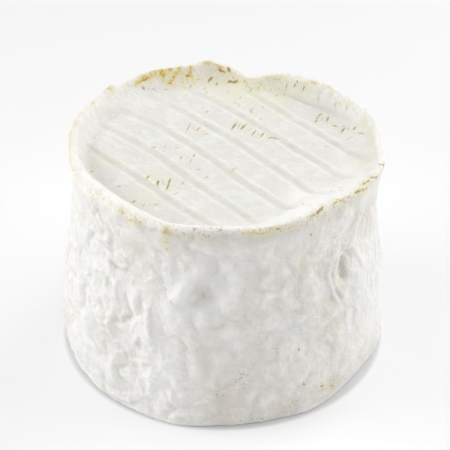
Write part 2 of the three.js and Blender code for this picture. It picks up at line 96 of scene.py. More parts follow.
# ---------------------------------------------------------------------------------------------------------------
# Folds, ridges and hairlines of the side. Each is a run of (angle, height) stations, with its rise (negative is a
# cut), its half width on the side it falls away to, and on the other side.
# ---------------------------------------------------------------------------------------------------------------
SIDE_FOLDS = [
    # leaf outer lip
    ([(319.0, 47.4), (315.0, 47.0), (312.0, 45.6), (310.6, 43.2), (310.4, 40.5), (311.2, 38.0), (312.4, 35.6), (314.2, 32.8), (316.6, 29.8)], 1.10, 0.60, 0.50),
    # leaf outer lip, its inner foot
    ([(315.4, 45.6), (313.2, 43.4), (312.6, 41.0), (313.2, 38.4)], -0.55, 0.60, 0.60),
    # leaf inner lip
    ([(318.2, 46.0), (316.2, 44.0), (315.2, 41.5), (314.8, 39.0), (314.6, 36.8)], 0.75, 0.60, 0.50),
    # leaf pocket
    ([(319.6, 45.2), (319.2, 43.2), (319.2, 40.6), (319.6, 38.0), (318.8, 36.0)], -0.75, 1.50, 0.90),
    # leaf low crease
    ([(314.2, 36.6), (315.2, 34.4), (317.4, 31.2)], -0.55, 0.50, 0.60),
    # leaf cap
    ([(319.8, 45.6), (321.8, 44.2), (323.4, 42.3)], -0.35, 0.70, 0.60),
    # leaf right fold
    ([(322.9, 46.9), (326.8, 42.9), (329.6, 38.9), (331.6, 34.9)], 0.42, 0.80, 1.00),
    # leaf right ridge
    ([(336.7, 31.9), (337.8, 27.5), (335.2, 25.5), (331.5, 23.7)], 0.34, 0.70, 0.80),
    # leaf foot ridge
    ([(325.4, 28.1), (325.2, 23.3), (324.9, 18.6)], 0.26, 0.80, 1.00),
    # dimple ridge
    ([(263.9, 52.4), (261.4, 49.4), (258.6, 46.6), (255.6, 43.1), (252.8, 40.6), (249.9, 38.2)], 1.10, 1.50, 2.80),
    # dimple right
    ([(266.6, 52.2), (270.4, 51.7), (273.1, 48.9), (274.6, 45.5), (273.2, 42.5), (270.5, 39.6), (267.1, 37.6)], 0.55, 2.00, 1.60),
    # dimple brow
    ([(258.4, 40.8), (260.4, 41.8), (262.9, 42.4), (266.2, 42.6)], -0.22, 1.60, 1.40),
    # arc brow
    ([(283.4, 36.7), (284.2, 39.0), (285.4, 40.6), (288.6, 40.7), (292.7, 40.7)], 0.55, 0.45, 1.30),
    # vertical ridge
    ([(241.2, 36.3), (242.5, 34.3), (243.4, 31.4), (244.2, 28.5), (245.4, 26.0), (246.0, 24.3)], 0.42, 0.50, 0.80),
    # ridge b
    ([(240.4, 26.9), (239.0, 25.0), (237.7, 21.7)], 0.45, 0.60, 0.70),
    # crease b
    ([(241.4, 26.7), (240.6, 23.5), (240.2, 20.5)], -0.22, 0.60, 0.60),
    # small bump
    ([(230.5, 28.0), (233.2, 30.2), (235.4, 32.3)], 0.50, 0.60, 0.90),
    # bump shadow
    ([(234.4, 28.9), (237.6, 31.2), (238.3, 33.3)], -0.40, 0.80, 0.70),
    # arc c
    ([(221.2, 23.5), (224.4, 25.0), (227.1, 25.5), (228.5, 24.5)], 0.36, 0.50, 0.80),
    # arc d
    ([(220.0, 19.9), (223.6, 22.1), (226.6, 22.6), (228.4, 20.6)], 0.42, 0.55, 0.90),
    # hollow brow
    ([(235.3, 19.0), (230.5, 17.2), (228.4, 14.5), (228.2, 12.2), (230.2, 11.0)], 0.30, 0.80, 0.55),
    # hollow brow 2
    ([(245.0, 22.4), (246.7, 24.1), (248.5, 23.6), (250.1, 21.5)], 0.42, 0.50, 0.90),
    # hook
    ([(244.6, 11.6), (244.8, 9.5), (243.1, 7.2), (240.3, 6.6)], 0.28, 0.60, 0.60),
    # flat crease
    ([(241.5, 16.0), (245.0, 17.0), (248.8, 18.4)], -0.24, 0.55, 0.60),
    # bright shelf
    ([(240.0, 17.3), (243.1, 18.5), (246.0, 19.1)], 0.40, 0.60, 0.70),
    # thin arc 1
    ([(255.9, 10.0), (258.0, 11.6), (259.9, 12.1)], 0.58, 0.40, 0.50),
    # thin arc 2
    ([(259.3, 7.6), (262.0, 8.3), (264.7, 9.4), (266.0, 12.0)], 0.64, 0.40, 0.50),
    # hair 1
    ([(254.5, 18.6), (257.1, 18.6), (259.8, 19.2)], -0.20, 0.35, 0.35),
    # hair 2
    ([(254.4, 17.2), (257.2, 17.4), (259.8, 17.7)], -0.20, 0.35, 0.35),
    # hair 3
    ([(254.5, 15.7), (257.1, 15.5), (259.5, 16.1)], -0.20, 0.35, 0.35),
    # low crease
    ([(250.0, 12.0), (251.7, 9.3), (253.2, 6.9), (254.2, 4.7)], -0.26, 0.60, 0.70),
    # low crease lip
    ([(251.7, 12.3), (253.1, 9.5), (254.6, 7.2)], 0.30, 0.70, 0.70),
    # edge of light
    ([(259.0, 28.4), (260.1, 23.8), (260.8, 18.9), (260.2, 14.3)], 0.35, 0.90, 2.20),
    # rim V left
    ([(247.4, 62.6), (250.5, 61.7)], 0.40, 0.60, 0.70),
    # rim V right
    ([(248.5, 58.1), (250.8, 62.0), (249.4, 60.0)], 0.45, 0.60, 0.70),
    # diag 1
    ([(212.0, 58.0), (216.7, 56.0), (220.0, 53.0), (223.4, 50.1)], -0.34, 0.50, 0.60),
    # diag 2
    ([(216.5, 58.9), (220.0, 56.1), (223.0, 54.0)], -0.28, 0.50, 0.50),
    # diag 3
    ([(222.9, 57.4), (226.2, 54.4), (229.4, 51.8), (230.3, 49.6)], 0.26, 0.60, 0.80),
    # lens edge
    ([(221.5, 44.8), (224.8, 43.7), (227.9, 42.7), (232.2, 43.0), (235.7, 46.1), (237.1, 48.7)], -0.42, 0.55, 0.60),
    # lens line 1
    ([(230.0, 48.0), (233.0, 46.9), (234.4, 44.8)], -0.24, 0.40, 0.40),
    # lens line 2
    ([(226.0, 47.4), (228.3, 45.8), (230.1, 44.4)], 0.24, 0.50, 0.50),
    # bright ridge a
    ([(228.3, 40.5), (228.2, 37.3), (228.8, 33.2)], 0.45, 0.70, 0.90),
    # round hollow
    ([(223.2, 36.1), (225.8, 35.8), (227.7, 37.7)], -0.40, 0.90, 0.90),
    # spot dark
    ([(220.2, 44.8), (221.9, 43.7)], -0.40, 0.80, 0.80),
    # short dark
    ([(198.0, 28.8), (205.4, 30.5)], -0.35, 0.60, 0.60),
    # big fold edge
    ([(235.6, 43.8), (235.5, 40.1), (238.3, 38.1), (240.2, 36.6)], 0.40, 0.70, 1.30),
    # fine dark
    ([(243.3, 49.1), (245.0, 47.7), (246.6, 45.8)], -0.24, 0.40, 0.45),
    # brown hollow left
    ([(243.8, 59.1), (245.9, 60.0), (247.6, 61.4)], -0.35, 0.60, 0.70),
    # brown hollow low
    ([(244.0, 54.4), (246.3, 53.4), (249.5, 53.9)], -0.25, 0.70, 0.90),
    # dark patch a
    ([(256.3, 59.3), (257.9, 56.4), (258.8, 53.9)], -0.32, 1.20, 1.20),
    # swell a
    ([(260.7, 60.8), (259.7, 58.4), (257.4, 54.0), (254.5, 49.8)], 0.25, 1.20, 1.40),
    # right streak 1
    ([(321.5, 57.3), (318.3, 54.6), (315.5, 51.7), (311.8, 49.0)], 0.22, 0.60, 0.70),
    # right streak 2
    ([(329.1, 55.5), (324.5, 52.8), (321.2, 50.2)], -0.20, 0.50, 0.60),
    # right streak 3
    ([(309.3, 61.3), (307.1, 57.7), (305.4, 54.0)], 0.20, 0.70, 0.90),
    # right streak 4
    ([(336.0, 53.6), (333.3, 51.2), (331.2, 48.3)], 0.22, 0.60, 0.60),
    # swell to leaf
    ([(311.9, 51.1), (307.2, 49.4), (301.7, 46.8)], 0.26, 0.90, 1.30),
    # mid streak
    ([(286.4, 56.7), (284.9, 52.9), (284.0, 50.4)], 0.20, 0.80, 0.90),
    # flap
    ([(350.1, 38.8), (352.2, 34.1), (349.4, 32.2), (346.7, 30.4), (343.6, 30.2)], 0.45, 0.60, 0.90),
    # flap under
    ([(343.6, 40.9), (345.2, 36.3), (343.3, 33.3), (339.4, 32.0)], -0.30, 0.70, 0.70),
]
SIDE_PITS = [  # angle, height, half width, depth
    (225.4, 37.5, 1.5, 0.45), (230.7, 28.4, 1.4, 0.4), (235.3, 30.7, 1.2, 0.35), (263.9, 25.5, 2.2, 0.2), (260.4, 37.6, 1.6, 0.4),
    (214.0, 47.0, 2.0, 0.35), (219.0, 35.0, 1.8, 0.35), (246.6, 50.6, 2.6, 0.3), (236.0, 41.0, 2.0, 0.35), (239.6, 13.0, 1.8, 0.3),
]
WRINKLED = (222.0, 46.0, 24.0)  # the side's most wrinkled part: centre angle, half spread, height it is centred on

# ---------------------------------------------------------------------------------------------------------------
# Browning. Short olive dashes on the dish: x, y, direction in degrees, half length, half width, strength
# ---------------------------------------------------------------------------------------------------------------
DASHES = [
    (2.7, 14.3, 70, 2.27, 0.40, 0.95), (5.2, 13.7, 62, 1.76, 0.43, 0.95), (8.1, 10.5, 68, 1.75, 0.29, 0.80), (10.6, 9.9, 65, 1.59, 0.35, 0.75), (12.9, 8.4, 41, 1.18, 0.40, 1.00),
    (14.4, 8.6, 145, 0.91, 0.27, 0.70), (-5.0, 22.2, 63, 1.17, 0.27, 0.50), (-10.1, 13.2, 76, 2.85, 0.21, 0.60), (-7.3, 12.5, 62, 1.12, 0.35, 0.55), (-5.1, 9.8, 31, 0.73, 0.27, 0.40),
    (-19.2, 2.7, 1, 0.66, 0.35, 0.55), (-16.3, 2.9, 45, 0.62, 0.27, 0.35), (-16.5, 0.5, 1, 0.55, 0.21, 0.35), (-12.9, 2.2, 31, 0.72, 0.27, 0.40), (-11.7, -2.6, 76, 0.75, 0.35, 0.50),
    (-8.2, -1.6, 76, 0.76, 0.29, 0.55), (-9.1, -4.5, 75, 1.24, 0.24, 0.35), (-6.9, -8.4, 0, 0.55, 0.29, 0.50), (-4.8, -12.2, 51, 0.87, 0.32, 0.45), (-20.2, -12.0, 64, 1.09, 0.43, 0.70),
    (-17.5, -14.8, 86, 1.48, 0.40, 1.00), (-14.9, -16.6, 79, 1.47, 0.37, 0.90), (-14.5, -14.1, 81, 1.64, 0.35, 0.95), (-10.9, -14.8, 61, 1.03, 0.27, 0.50), (-12.6, -19.8, 51, 0.86, 0.32, 0.35),
    (-27.7, -16.0, 29, 0.69, 0.32, 0.60), (-23.4, -23.2, 49, 0.82, 0.35, 0.60), (-20.9, -29.8, 86, 1.10, 0.37, 0.70), (-20.9, -25.1, 61, 0.74, 0.24, 0.40), (-17.6, -24.7, 47, 0.81, 0.29, 0.35),
    (-23.5, 10.4, 43, 0.61, 0.29, 0.25), (-30.7, 19.7, 44, 0.62, 0.27, 0.25), (27.0, 21.8, 52, 0.97, 0.35, 0.85), (26.2, 19.8, 48, 0.69, 0.32, 0.80), (25.6, 17.7, 63, 0.92, 0.35, 0.85),
    (29.0, 19.4, 76, 1.68, 0.35, 0.85), (30.9, 15.6, 147, 0.73, 0.32, 0.80), (33.0, 13.3, 68, 1.51, 0.37, 0.85), (36.2, 12.7, 43, 0.64, 0.40, 0.85), (37.8, 9.2, 128, 1.47, 0.27, 0.40),
    (2.8, 27.7, 99, 2.02, 0.48, 0.35), (7.4, 23.1, 99, 1.99, 0.48, 0.40), (10.1, 18.1, 65, 0.93, 0.27, 0.35), (2.5, -8.3, 60, 1.33, 0.43, 0.25), (27.9, 4.3, 1, 0.66, 0.35, 0.30),
    (34.6, 9.0, 32, 1.25, 0.24, 0.30), (28.7, -18.5, 38, 0.60, 0.29, 0.22), (30.2, -21.9, 144, 0.71, 0.29, 0.25), (30.2, -24.4, 162, 0.78, 0.29, 0.25), (27.9, -22.9, 110, 0.89, 0.27, 0.20),
    (20.4, -28.1, 107, 1.37, 0.29, 0.22), (21.9, -31.0, 42, 0.61, 0.29, 0.22), (-23.4, 33.7, 5, 0.55, 0.35, 0.80), (-20.6, 34.6, 14, 0.55, 0.27, 0.35), (-17.0, 35.3, 6, 0.68, 0.32, 0.40),
    (-35.5, -9.2, 74, 1.03, 0.32, 0.50),
    (-17.8, 37.7, 70, 0.70, 0.28, 0.50), (-9.9, 37.2, 71, 0.90, 0.30, 0.65), (-5.9, 36.1, 61, 0.80, 0.30, 0.55), (-2.4, 38.3, 76, 1.00, 0.32, 0.75), (-5.2, 33.4, 68, 0.70, 0.28, 0.45),
    (6.3, 36.6, 77, 0.70, 0.28, 0.45), (7.5, 34.8, 66, 0.90, 0.30, 0.60), (9.8, 35.5, 78, 0.90, 0.33, 0.65), (14.9, 32.4, 73, 0.80, 0.30, 0.60), (17.2, 33.1, 69, 0.70, 0.28, 0.50),
    (4.6, 30.6, 74, 0.70, 0.30, 0.40), (2.5, 27.7, 78, 0.80, 0.32, 0.40), (4.0, 26.0, 65, 0.80, 0.32, 0.40), (10.8, 24.9, 68, 0.80, 0.30, 0.35), (13.2, 34.9, 73, 0.70, 0.28, 0.40),
    (17.8, 35.2, 78, 0.80, 0.28, 0.50), (26.8, 28.6, 72, 0.80, 0.30, 0.35), (31.4, 24.4, 76, 0.80, 0.30, 0.40), (34.3, 21.0, 70, 0.80, 0.28, 0.40), (1.1, 34.1, 67, 0.70, 0.28, 0.40),
    (7.9, 23.7, 61, 1.00, 0.34, 0.40),
]
# Rim: runs of (angle, distance over the rim; negative is inside the crest, positive down the side), half width,
# gold, brown
RIM_STAINS = [
    ([(112.0, -3.2), (101.0, -3.6), (91.0, -3.0)], 2.4, 0.44, 0.0), ([(100.0, -6.6), (86.0, -5.6), (72.0, -5.0)], 1.9, 0.42, 0.0), ([(72.0, -4.4), (58.0, -3.6), (44.0, -3.0)], 1.7, 0.40, 0.0),
    ([(141.3, 0.5), (139.9, -1.4)], 0.61, 1.00, 0.30), ([(141.8, -1.9), (139.2, -4.1), (141.7, -4.3)], 1.20, 0.34, 0.00),
    ([(152.4, -0.4), (147.2, -0.2)], 0.27, 0.60, 0.00), ([(163.8, -0.2), (156.2, -0.2)], 0.27, 0.60, 0.00),
    ([(171.6, 0.2), (167.8, -0.3)], 0.35, 0.70, 0.50), ([(174.4, 1.0), (180.9, 0.8), (187.0, 1.3), (195.0, 2.1)], 0.35, 0.80, 0.15),
    ([(196.7, 2.1), (201.6, 1.7), (206.6, 2.4)], 0.43, 0.60, 0.05), ([(218.1, 2.9), (218.7, 1.0)], 0.43, 0.72, 0.20),
    ([(213.8, 2.1), (216.1, 1.7)], 0.32, 0.50, 0.00), ([(132.5, 0.2), (131.2, -0.2)], 0.29, 0.60, 0.50),
    ([(132.8, -1.0), (129.5, -1.6)], 0.40, 0.55, 0.00),
    ([(127.1, -1.7), (124.6, -1.6), (121.3, -1.6), (118.1, -1.4), (115.5, -1.0)], 0.69, 1.00, 0.15),
    ([(126.2, -1.9), (124.2, -1.9), (120.7, -2.7)], 0.40, 1.00, 0.62), ([(121.8, -1.8), (119.1, -1.8)], 0.43, 1.00, 0.40),
    ([(115.3, -2.4), (113.5, -1.4), (111.8, -0.8)], 0.61, 1.00, 0.50), ([(116.5, -3.4), (115.1, -3.0)], 0.29, 0.60, 0.70),
    ([(108.1, -0.4), (109.1, -1.7), (111.1, -3.4), (113.2, -4.8)], 0.40, 1.00, 0.45), ([(110.0, -2.4), (111.5, -3.4)], 0.35, 1.00, 0.80),
    ([(112.6, -4.2), (113.2, -4.8)], 0.37, 1.00, 0.90), ([(103.7, -0.5), (103.8, -2.0), (104.5, -3.4)], 0.40, 1.00, 0.50),
    ([(106.0, -2.9), (103.6, -3.5)], 0.37, 1.00, 0.95), ([(107.0, -3.6), (107.4, -5.2), (108.7, -6.3)], 0.29, 0.75, 0.60),
    ([(100.9, -4.7), (102.8, -5.6)], 0.32, 0.70, 0.80), ([(105.3, -6.6), (103.5, -6.5)], 0.27, 0.60, 0.40),
    ([(101.8, -9.9), (99.7, -9.3)], 0.32, 0.60, 0.30), ([(99.3, -7.6), (97.9, -7.3)], 0.24, 0.50, 0.30),
    ([(95.1, -4.8), (96.9, -6.3)], 0.35, 0.70, 0.90), ([(94.9, -7.6), (93.3, -8.5)], 0.37, 0.70, 0.45),
    ([(98.5, -0.5), (95.7, -0.4), (92.9, -0.4), (90.5, -0.8)], 0.29, 0.85, 0.25), ([(92.2, -2.0), (90.1, -1.7), (88.1, -0.4)], 0.37, 1.00, 1.00),
    ([(90.1, -1.5), (86.8, -1.5)], 0.53, 0.75, 0.20), ([(88.4, -4.5), (85.8, -3.8), (84.5, -2.8)], 0.40, 1.00, 1.00),
    ([(84.4, -3.3), (80.5, -1.2), (77.9, -0.5)], 0.37, 0.85, 0.20), ([(86.7, -2.8), (86.3, -2.9)], 0.27, 0.50, 0.60),
    ([(81.4, -1.2), (80.5, -1.2)], 0.29, 0.80, 1.00), ([(78.0, -0.3), (73.9, -0.4), (69.9, -1.4), (66.3, -1.2)], 0.43, 0.72, 0.10),
    ([(69.9, -1.4), (67.0, -1.6)], 0.43, 0.95, 0.30), ([(75.0, -3.6), (73.8, -2.6)], 0.43, 0.85, 0.45),
    ([(85.1, -5.2), (82.5, -3.4)], 0.37, 0.65, 0.20), ([(66.5, -7.0), (65.0, -5.9)], 0.40, 0.65, 0.35),
    ([(70.9, -8.9), (69.9, -8.3)], 0.27, 0.50, 0.30), ([(59.9, -2.8), (58.8, -1.9)], 0.37, 0.70, 0.70),
    ([(60.2, -3.8), (59.5, -3.5)], 0.27, 0.60, 0.60), ([(55.6, -3.7), (54.9, -2.3)], 0.40, 0.80, 0.65),
    ([(64.9, -2.5), (62.5, -3.0)], 0.69, 0.50, 0.00), ([(70.2, -4.0), (69.5, -3.9)], 0.32, 0.60, 0.30),
    ([(64.4, -0.1), (62.5, 0.2)], 0.24, 0.70, 0.60), ([(59.8, -0.4), (57.8, -0.2)], 0.27, 0.50, 0.30),
    ([(52.9, -0.4), (50.5, -0.5)], 0.32, 0.95, 0.60), ([(46.6, -0.4), (45.0, -0.1), (42.3, -0.2)], 0.35, 0.75, 0.85),
    ([(40.4, -0.3), (33.1, 0.3), (22.6, 0.2)], 0.19, 0.25, 0.35), ([(43.0, -2.7), (41.9, -2.0)], 0.29, 0.60, 0.40),
    ([(37.4, -3.5), (35.0, -1.9)], 0.64, 0.62, 0.05), ([(32.3, -1.9), (30.5, -1.0)], 0.35, 0.62, 0.10),
    ([(31.1, -3.2), (30.8, -2.5)], 0.29, 0.60, 0.50), ([(26.7, -2.1), (26.0, -1.8)], 0.29, 0.50, 0.60),
    ([(11.6, -0.7), (5.5, -0.1), (359.1, 0.2)], 0.67, 0.30, 0.00), ([(344.4, 0.1), (346.3, 1.9)], 0.40, 0.60, 0.90),
    ([(342.9, 2.3), (345.2, 2.2)], 0.43, 0.60, 0.20), ([(334.5, 0.5), (339.3, 2.0)], 0.40, 0.75, 0.80),
    ([(329.1, 0.4), (332.6, 0.7)], 0.43, 1.00, 0.70), ([(323.4, 0.9), (326.4, 1.3), (330.3, 2.1)], 0.53, 1.00, 0.55),
    ([(323.2, 1.2), (325.4, 1.0)], 0.32, 1.00, 0.80), ([(311.8, 0.7), (313.9, 0.7)], 0.40, 0.90, 0.85),
    ([(314.4, 0.1), (317.8, 2.2)], 0.51, 0.95, 0.40), ([(303.9, 0.9), (307.1, 0.1)], 0.51, 1.00, 1.00),
    ([(300.4, 2.2), (300.3, 1.0), (302.5, 1.0)], 0.29, 0.80, 0.75), ([(301.6, 1.7), (304.3, 1.3)], 0.43, 0.60, 0.20),
    ([(306.9, 3.0), (307.8, 2.2)], 0.24, 0.30, 1.00), ([(286.6, 1.2), (288.1, 1.1), (289.6, 1.7)], 0.53, 0.90, 0.50),
    ([(287.7, 1.4), (288.8, 1.4)], 0.32, 1.00, 1.00), ([(292.1, 2.3), (293.5, 2.0)], 0.35, 0.90, 0.90),
    ([(289.2, 2.5), (289.9, 2.6)], 0.24, 0.70, 1.00), ([(290.3, 1.7), (298.7, 2.2)], 0.37, 0.55, 0.10),
    ([(277.5, 1.3), (280.9, 1.8), (284.9, 1.8)], 0.53, 0.90, 0.30), ([(282.2, 1.8), (284.6, 1.7)], 0.37, 1.00, 0.60),
    ([(308.7, 0.4), (312.4, 0.5)], 0.40, 0.50, 0.05), ([(317.2, 1.0), (323.9, 1.0)], 0.40, 0.50, 0.05),
    ([(231.0, 2.4), (233.6, 2.1)], 0.59, 0.85, 0.30), ([(232.4, 2.3), (233.8, 2.2)], 0.32, 0.90, 0.50),
    ([(236.1, 3.5), (238.3, 2.3), (241.3, 2.5)], 0.59, 0.85, 0.30), ([(237.8, 3.3), (240.5, 2.6)], 0.35, 0.95, 0.60),
    ([(224.7, 2.9), (226.2, 1.8)], 0.32, 0.60, 0.60), ([(239.3, 1.6), (239.9, 1.4)], 0.27, 0.50, 0.40),
    ([(242.6, 0.9), (243.7, 0.2)], 0.32, 0.55, 0.40), ([(246.9, 0.4), (248.6, 0.7)], 0.45, 0.60, 0.20),
    ([(249.8, 2.8), (251.2, 1.7), (252.0, 3.0)], 0.67, 1.00, 0.40), ([(250.6, 2.6), (251.9, 3.6)], 0.40, 1.00, 0.55),
    ([(248.7, 6.3), (250.8, 6.1)], 0.48, 0.90, 0.45), ([(249.7, 8.5), (250.5, 8.0)], 0.27, 0.80, 0.50),
    ([(250.9, 3.9), (250.4, 6.2)], 0.37, 0.70, 0.30), ([(253.0, 1.6), (254.0, 1.6)], 0.32, 0.60, 0.80),
    ([(244.3, 4.3), (246.9, 2.8)], 0.24, 0.30, 0.50), ([(263.0, 1.0), (263.6, 0.6)], 0.24, 0.40, 0.60),
    ([(264.7, 1.4), (265.6, 1.0)], 0.21, 0.40, 0.50), ([(266.2, 0.2), (266.0, -9.8)], 0.24, 0.40, 0.50),
    ([(268.0, 1.3), (268.6, 0.8)], 0.27, 0.40, 0.70), ([(269.3, 0.7), (269.9, 0.2)], 0.29, 0.40, 0.60),
    ([(263.2, 0.6), (270.9, 0.9)], 0.80, 0.34, 0.10),
]
# Side: angle, height, half width, gold, brown
SIDE_SPOTS = [
    # the first spot is the dark core of the dimple: partly brown, partly painted shade of the hollow
    (262.8, 40.3, 1.60, 0.00, 0.58),
    (302.0, 56.9, 0.70, 0.50, 1.00), (314.1, 51.9, 0.70, 0.50, 0.70), (313.6, 50.1, 0.80, 0.55, 0.40), (296.9, 22.5, 0.80, 0.60, 1.00), (299.1, 10.7, 0.75, 0.60, 0.95),
    (306.4, 7.8, 0.80, 0.90, 1.00), (336.1, 4.5, 0.60, 0.50, 0.80), (328.7, 54.1, 0.60, 0.40, 0.90), (329.5, 55.1, 0.50, 0.30, 0.70), (301.0, 8.2, 0.50, 0.40, 0.50),
    (295.0, 5.4, 0.60, 0.50, 0.80), (296.2, 4.3, 0.50, 0.40, 0.70), (276.2, 2.4, 0.55, 0.50, 1.00), (282.0, 2.5, 0.45, 0.40, 0.90), (278.5, 4.3, 0.40, 0.30, 0.70),
    (250.4, 55.2, 0.50, 0.40, 0.90), (290.9, 24.5, 0.50, 0.40, 0.60), (289.4, 25.2, 0.40, 0.30, 0.50), (277.1, 18.1, 0.50, 0.40, 0.70), (276.1, 17.2, 0.40, 0.40, 0.60),
    (277.8, 16.5, 0.50, 0.40, 0.60), (276.4, 15.6, 0.40, 0.40, 0.60), (278.5, 15.2, 0.40, 0.40, 0.60), (277.1, 13.9, 0.40, 0.40, 0.50), (268.0, 12.7, 0.50, 0.40, 0.70),
    (267.0, 11.8, 0.45, 0.40, 0.70), (269.0, 12.1, 0.40, 0.40, 0.60), (267.7, 10.6, 0.40, 0.40, 0.70), (270.0, 13.4, 0.40, 0.40, 0.60), (277.0, 44.2, 0.50, 0.30, 0.40),
    (296.5, 23.6, 0.50, 0.50, 0.00), (298.7, 23.2, 0.60, 0.45, 0.00), (304.5, 7.5, 1.10, 0.62, 0.00), (309.1, 6.4, 0.90, 0.60, 0.10), (311.0, 4.9, 0.80, 0.60, 0.10),
    (313.5, 6.6, 1.50, 0.50, 0.00), (315.2, 4.4, 1.00, 0.50, 0.00), (297.5, 12.5, 1.60, 0.45, 0.00), (344.9, 34.5, 0.90, 0.62, 0.10), (349.4, 34.2, 0.80, 0.60, 0.10),
    (345.1, 31.1, 0.80, 0.60, 0.20), (335.8, 3.2, 0.80, 0.55, 0.10),
    (150.0, 22.0, 0.6, 0.5, 0.8), (131.0, 9.0, 1.6, 0.5, 0.2), (112.0, 30.0, 0.5, 0.5, 0.8), (84.0, 12.0, 1.5, 0.5, 0.15), (66.0, 34.0, 0.55, 0.5, 0.85),
    (47.0, 16.0, 0.6, 0.5, 0.9), (30.0, 6.0, 1.7, 0.52, 0.1), (12.0, 38.0, 0.5, 0.45, 0.7), (172.0, 12.0, 1.2, 0.5, 0.1), (97.0, 50.0, 0.45, 0.4, 0.7),
]
# Broad warm grey patches of the side: mostly painted shade (under the rim, in the dimple, on the front right), partly a
# warm tint of the rind: angle, height, half width round, half height, strength of warm grey
SIDE_WARM_SHADE = [
    (263.5, 20.0, 3.2, 7.5, 0.55), (262.6, 40.6, 1.0, 1.0, 0.90),
    (310.5, 28.0, 4.5, 7.5, 0.55), (301.0, 47.5, 4.5, 4.0, 0.35), (289.0, 60.5, 15.0, 3.4, 0.72), (262.0, 60.5, 13.0, 3.2, 0.60), (236.0, 60.0, 9.0, 3.0, 0.45), (313.0, 60.0, 11.0, 3.4, 0.55), (336.0, 52.0, 6.0, 6.0, 0.55), (235.0, 27.0, 3.0, 4.0, 0.35), (242.0, 47.0, 3.0, 5.0, 0.40), (313.0, 17.0, 5.0, 6.0, 0.30),
    (259.5, 26.0, 4.5, 4.0, 0.55), (275.0, 33.0, 4.0, 2.5, 0.35), (281.0, 48.5, 5.0, 1.8, 0.45), (288.0, 45.0, 4.0, 2.0, 0.30), (266.0, 30.0, 6.0, 3.0, 0.25), (300.0, 33.0, 7.0, 3.0, 0.30),
    (272.0, 5.0, 4.0, 3.0, 0.55), (266.0, 12.0, 5.0, 4.0, 0.35), (295.0, 38.0, 3.0, 3.0, 0.25), (254.0, 54.0, 3.0, 4.0, 0.35), (288.0, 27.0, 5.0, 3.5, 0.35), (283.0, 36.0, 4.0, 3.0, 0.25),
    (272.0, 10.0, 9.0, 11.0, 0.50), (284.0, 16.0, 12.0, 13.0, 0.34), (310.0, 6.0, 14.0, 6.0, 0.4), (290.0, 4.0, 12.0, 6.0, 0.45),
    (236.0, 51.0, 7.0, 6.0, 0.42), (238.0, 46.0, 4.0, 5.0, 0.35), (232.0, 30.5, 4.0, 4.5, 0.34), (233.0, 16.0, 5.0, 4.0, 0.35), (241.0, 43.0, 4.0, 6.0, 0.3), (262.6, 40.8, 1.4, 1.3, 0.34), (305.0, 56.0, 12.0, 4.5, 0.25), (262.0, 22.0, 4.0, 6.0, 0.4),
    (231.0, 14.0, 3.0, 3.6, 0.4), (224.0, 21.0, 4.0, 3.0, 0.3), (120.0, 10.0, 14.0, 9.0, 0.45), (60.0, 8.0, 12.0, 8.0, 0.45), (20.0, 14.0, 10.0, 9.0, 0.35),
    (90.0, 26.0, 9.0, 8.0, 0.45), (160.0, 46.0, 8.0, 6.0, 0.45), (140.0, 52.0, 9.0, 6.0, 0.50), (100.0, 46.0, 8.0, 6.0, 0.45), (70.0, 38.0, 7.0, 7.0, 0.50),
    (40.0, 50.0, 8.0, 5.0, 0.45), (172.0, 24.0, 9.0, 8.0, 0.50), (190.0, 11.0, 8.0, 6.0, 0.40), (345.0, 14.0, 8.0, 7.0, 0.25), (28.0, 26.0, 7.0, 7.0, 0.45), (130.0, 28.0, 8.0, 7.0, 0.45),
]
# Creamy olive patches of the dish and its wall, and painted shade in the band inside the right crest: x, y, half width,
# strength
DISH_OLIVE_AND_SHADE = [
    (-4.0, 42.0, 5.0, 1.2), (2.0, 40.5, 6.0, 1.2), (9.0, 38.5, 6.0, 1.0), (16.0, 37.0, 6.0, 0.8), (-11.0, 40.0, 4.5, 0.8), (-17.0, 37.0, 4.0, 0.5),
    (4.0, 32.0, 8.0, 0.8), (-3.0, 38.0, 5.0, 0.8), (9.0, 28.0, 6.0, 0.7), (16.0, 30.0, 7.0, 0.7), (22.0, 33.0, 6.0, 0.6), (33.0, 17.0, 5.0, 0.4), (29.0, 20.0, 4.0, 0.5),
    (-18.0, -14.0, 6.0, 0.6), (-22.0, -22.0, 6.0, 0.7), (-13.0, -8.0, 5.0, 0.35), (-7.0, 12.0, 6.0, 0.3), (5.0, 13.0, 5.0, 0.35), (-33.0, -4.0, 7.0, 0.6), (3.0, -9.0, 5.0, 0.4),
    (13.0, 20.0, 7.0, 0.45), (-30.0, 12.0, 6.0, 0.15), (40.2, 12.0, 2.6, 1.6), (41.0, 7.0, 2.4, 1.7), (41.0, 2.5, 2.4, 1.7), (37.5, -5.5, 4.0, 1.0), (38.5, -12.0, 3.0, 0.8), (38.8, 17.0, 2.4, 0.3),
]
# Creamy zones of the side and of the rim: angle, height, half width round, half height, strength
SIDE_CREAM = [
    (300.0, 46.0, 10.0, 14.0, 0.42), (312.0, 30.0, 10.0, 16.0, 0.44), (322.0, 12.0, 9.0, 12.0, 0.22), (296.0, 12.0, 9.0, 9.0, 0.34), (330.0, 52.0, 10.0, 9.0, 0.44),
    (318.0, 38.0, 3.0, 6.0, 0.70), (312.0, 5.5, 5.0, 3.5, 0.90), (298.0, 11.0, 3.5, 3.5, 0.60), (6.0, 62.5, 7.0, 4.0, 1.30), (333.0, 62.5, 14.0, 3.0, 0.80), (214.0, 62.5, 13.0, 3.0, 0.50), (120.0, 40.0, 16.0, 14.0, 0.40), (60.0, 20.0, 16.0, 14.0, 0.40), (20.0, 36.0, 12.0, 14.0, 0.40),
]
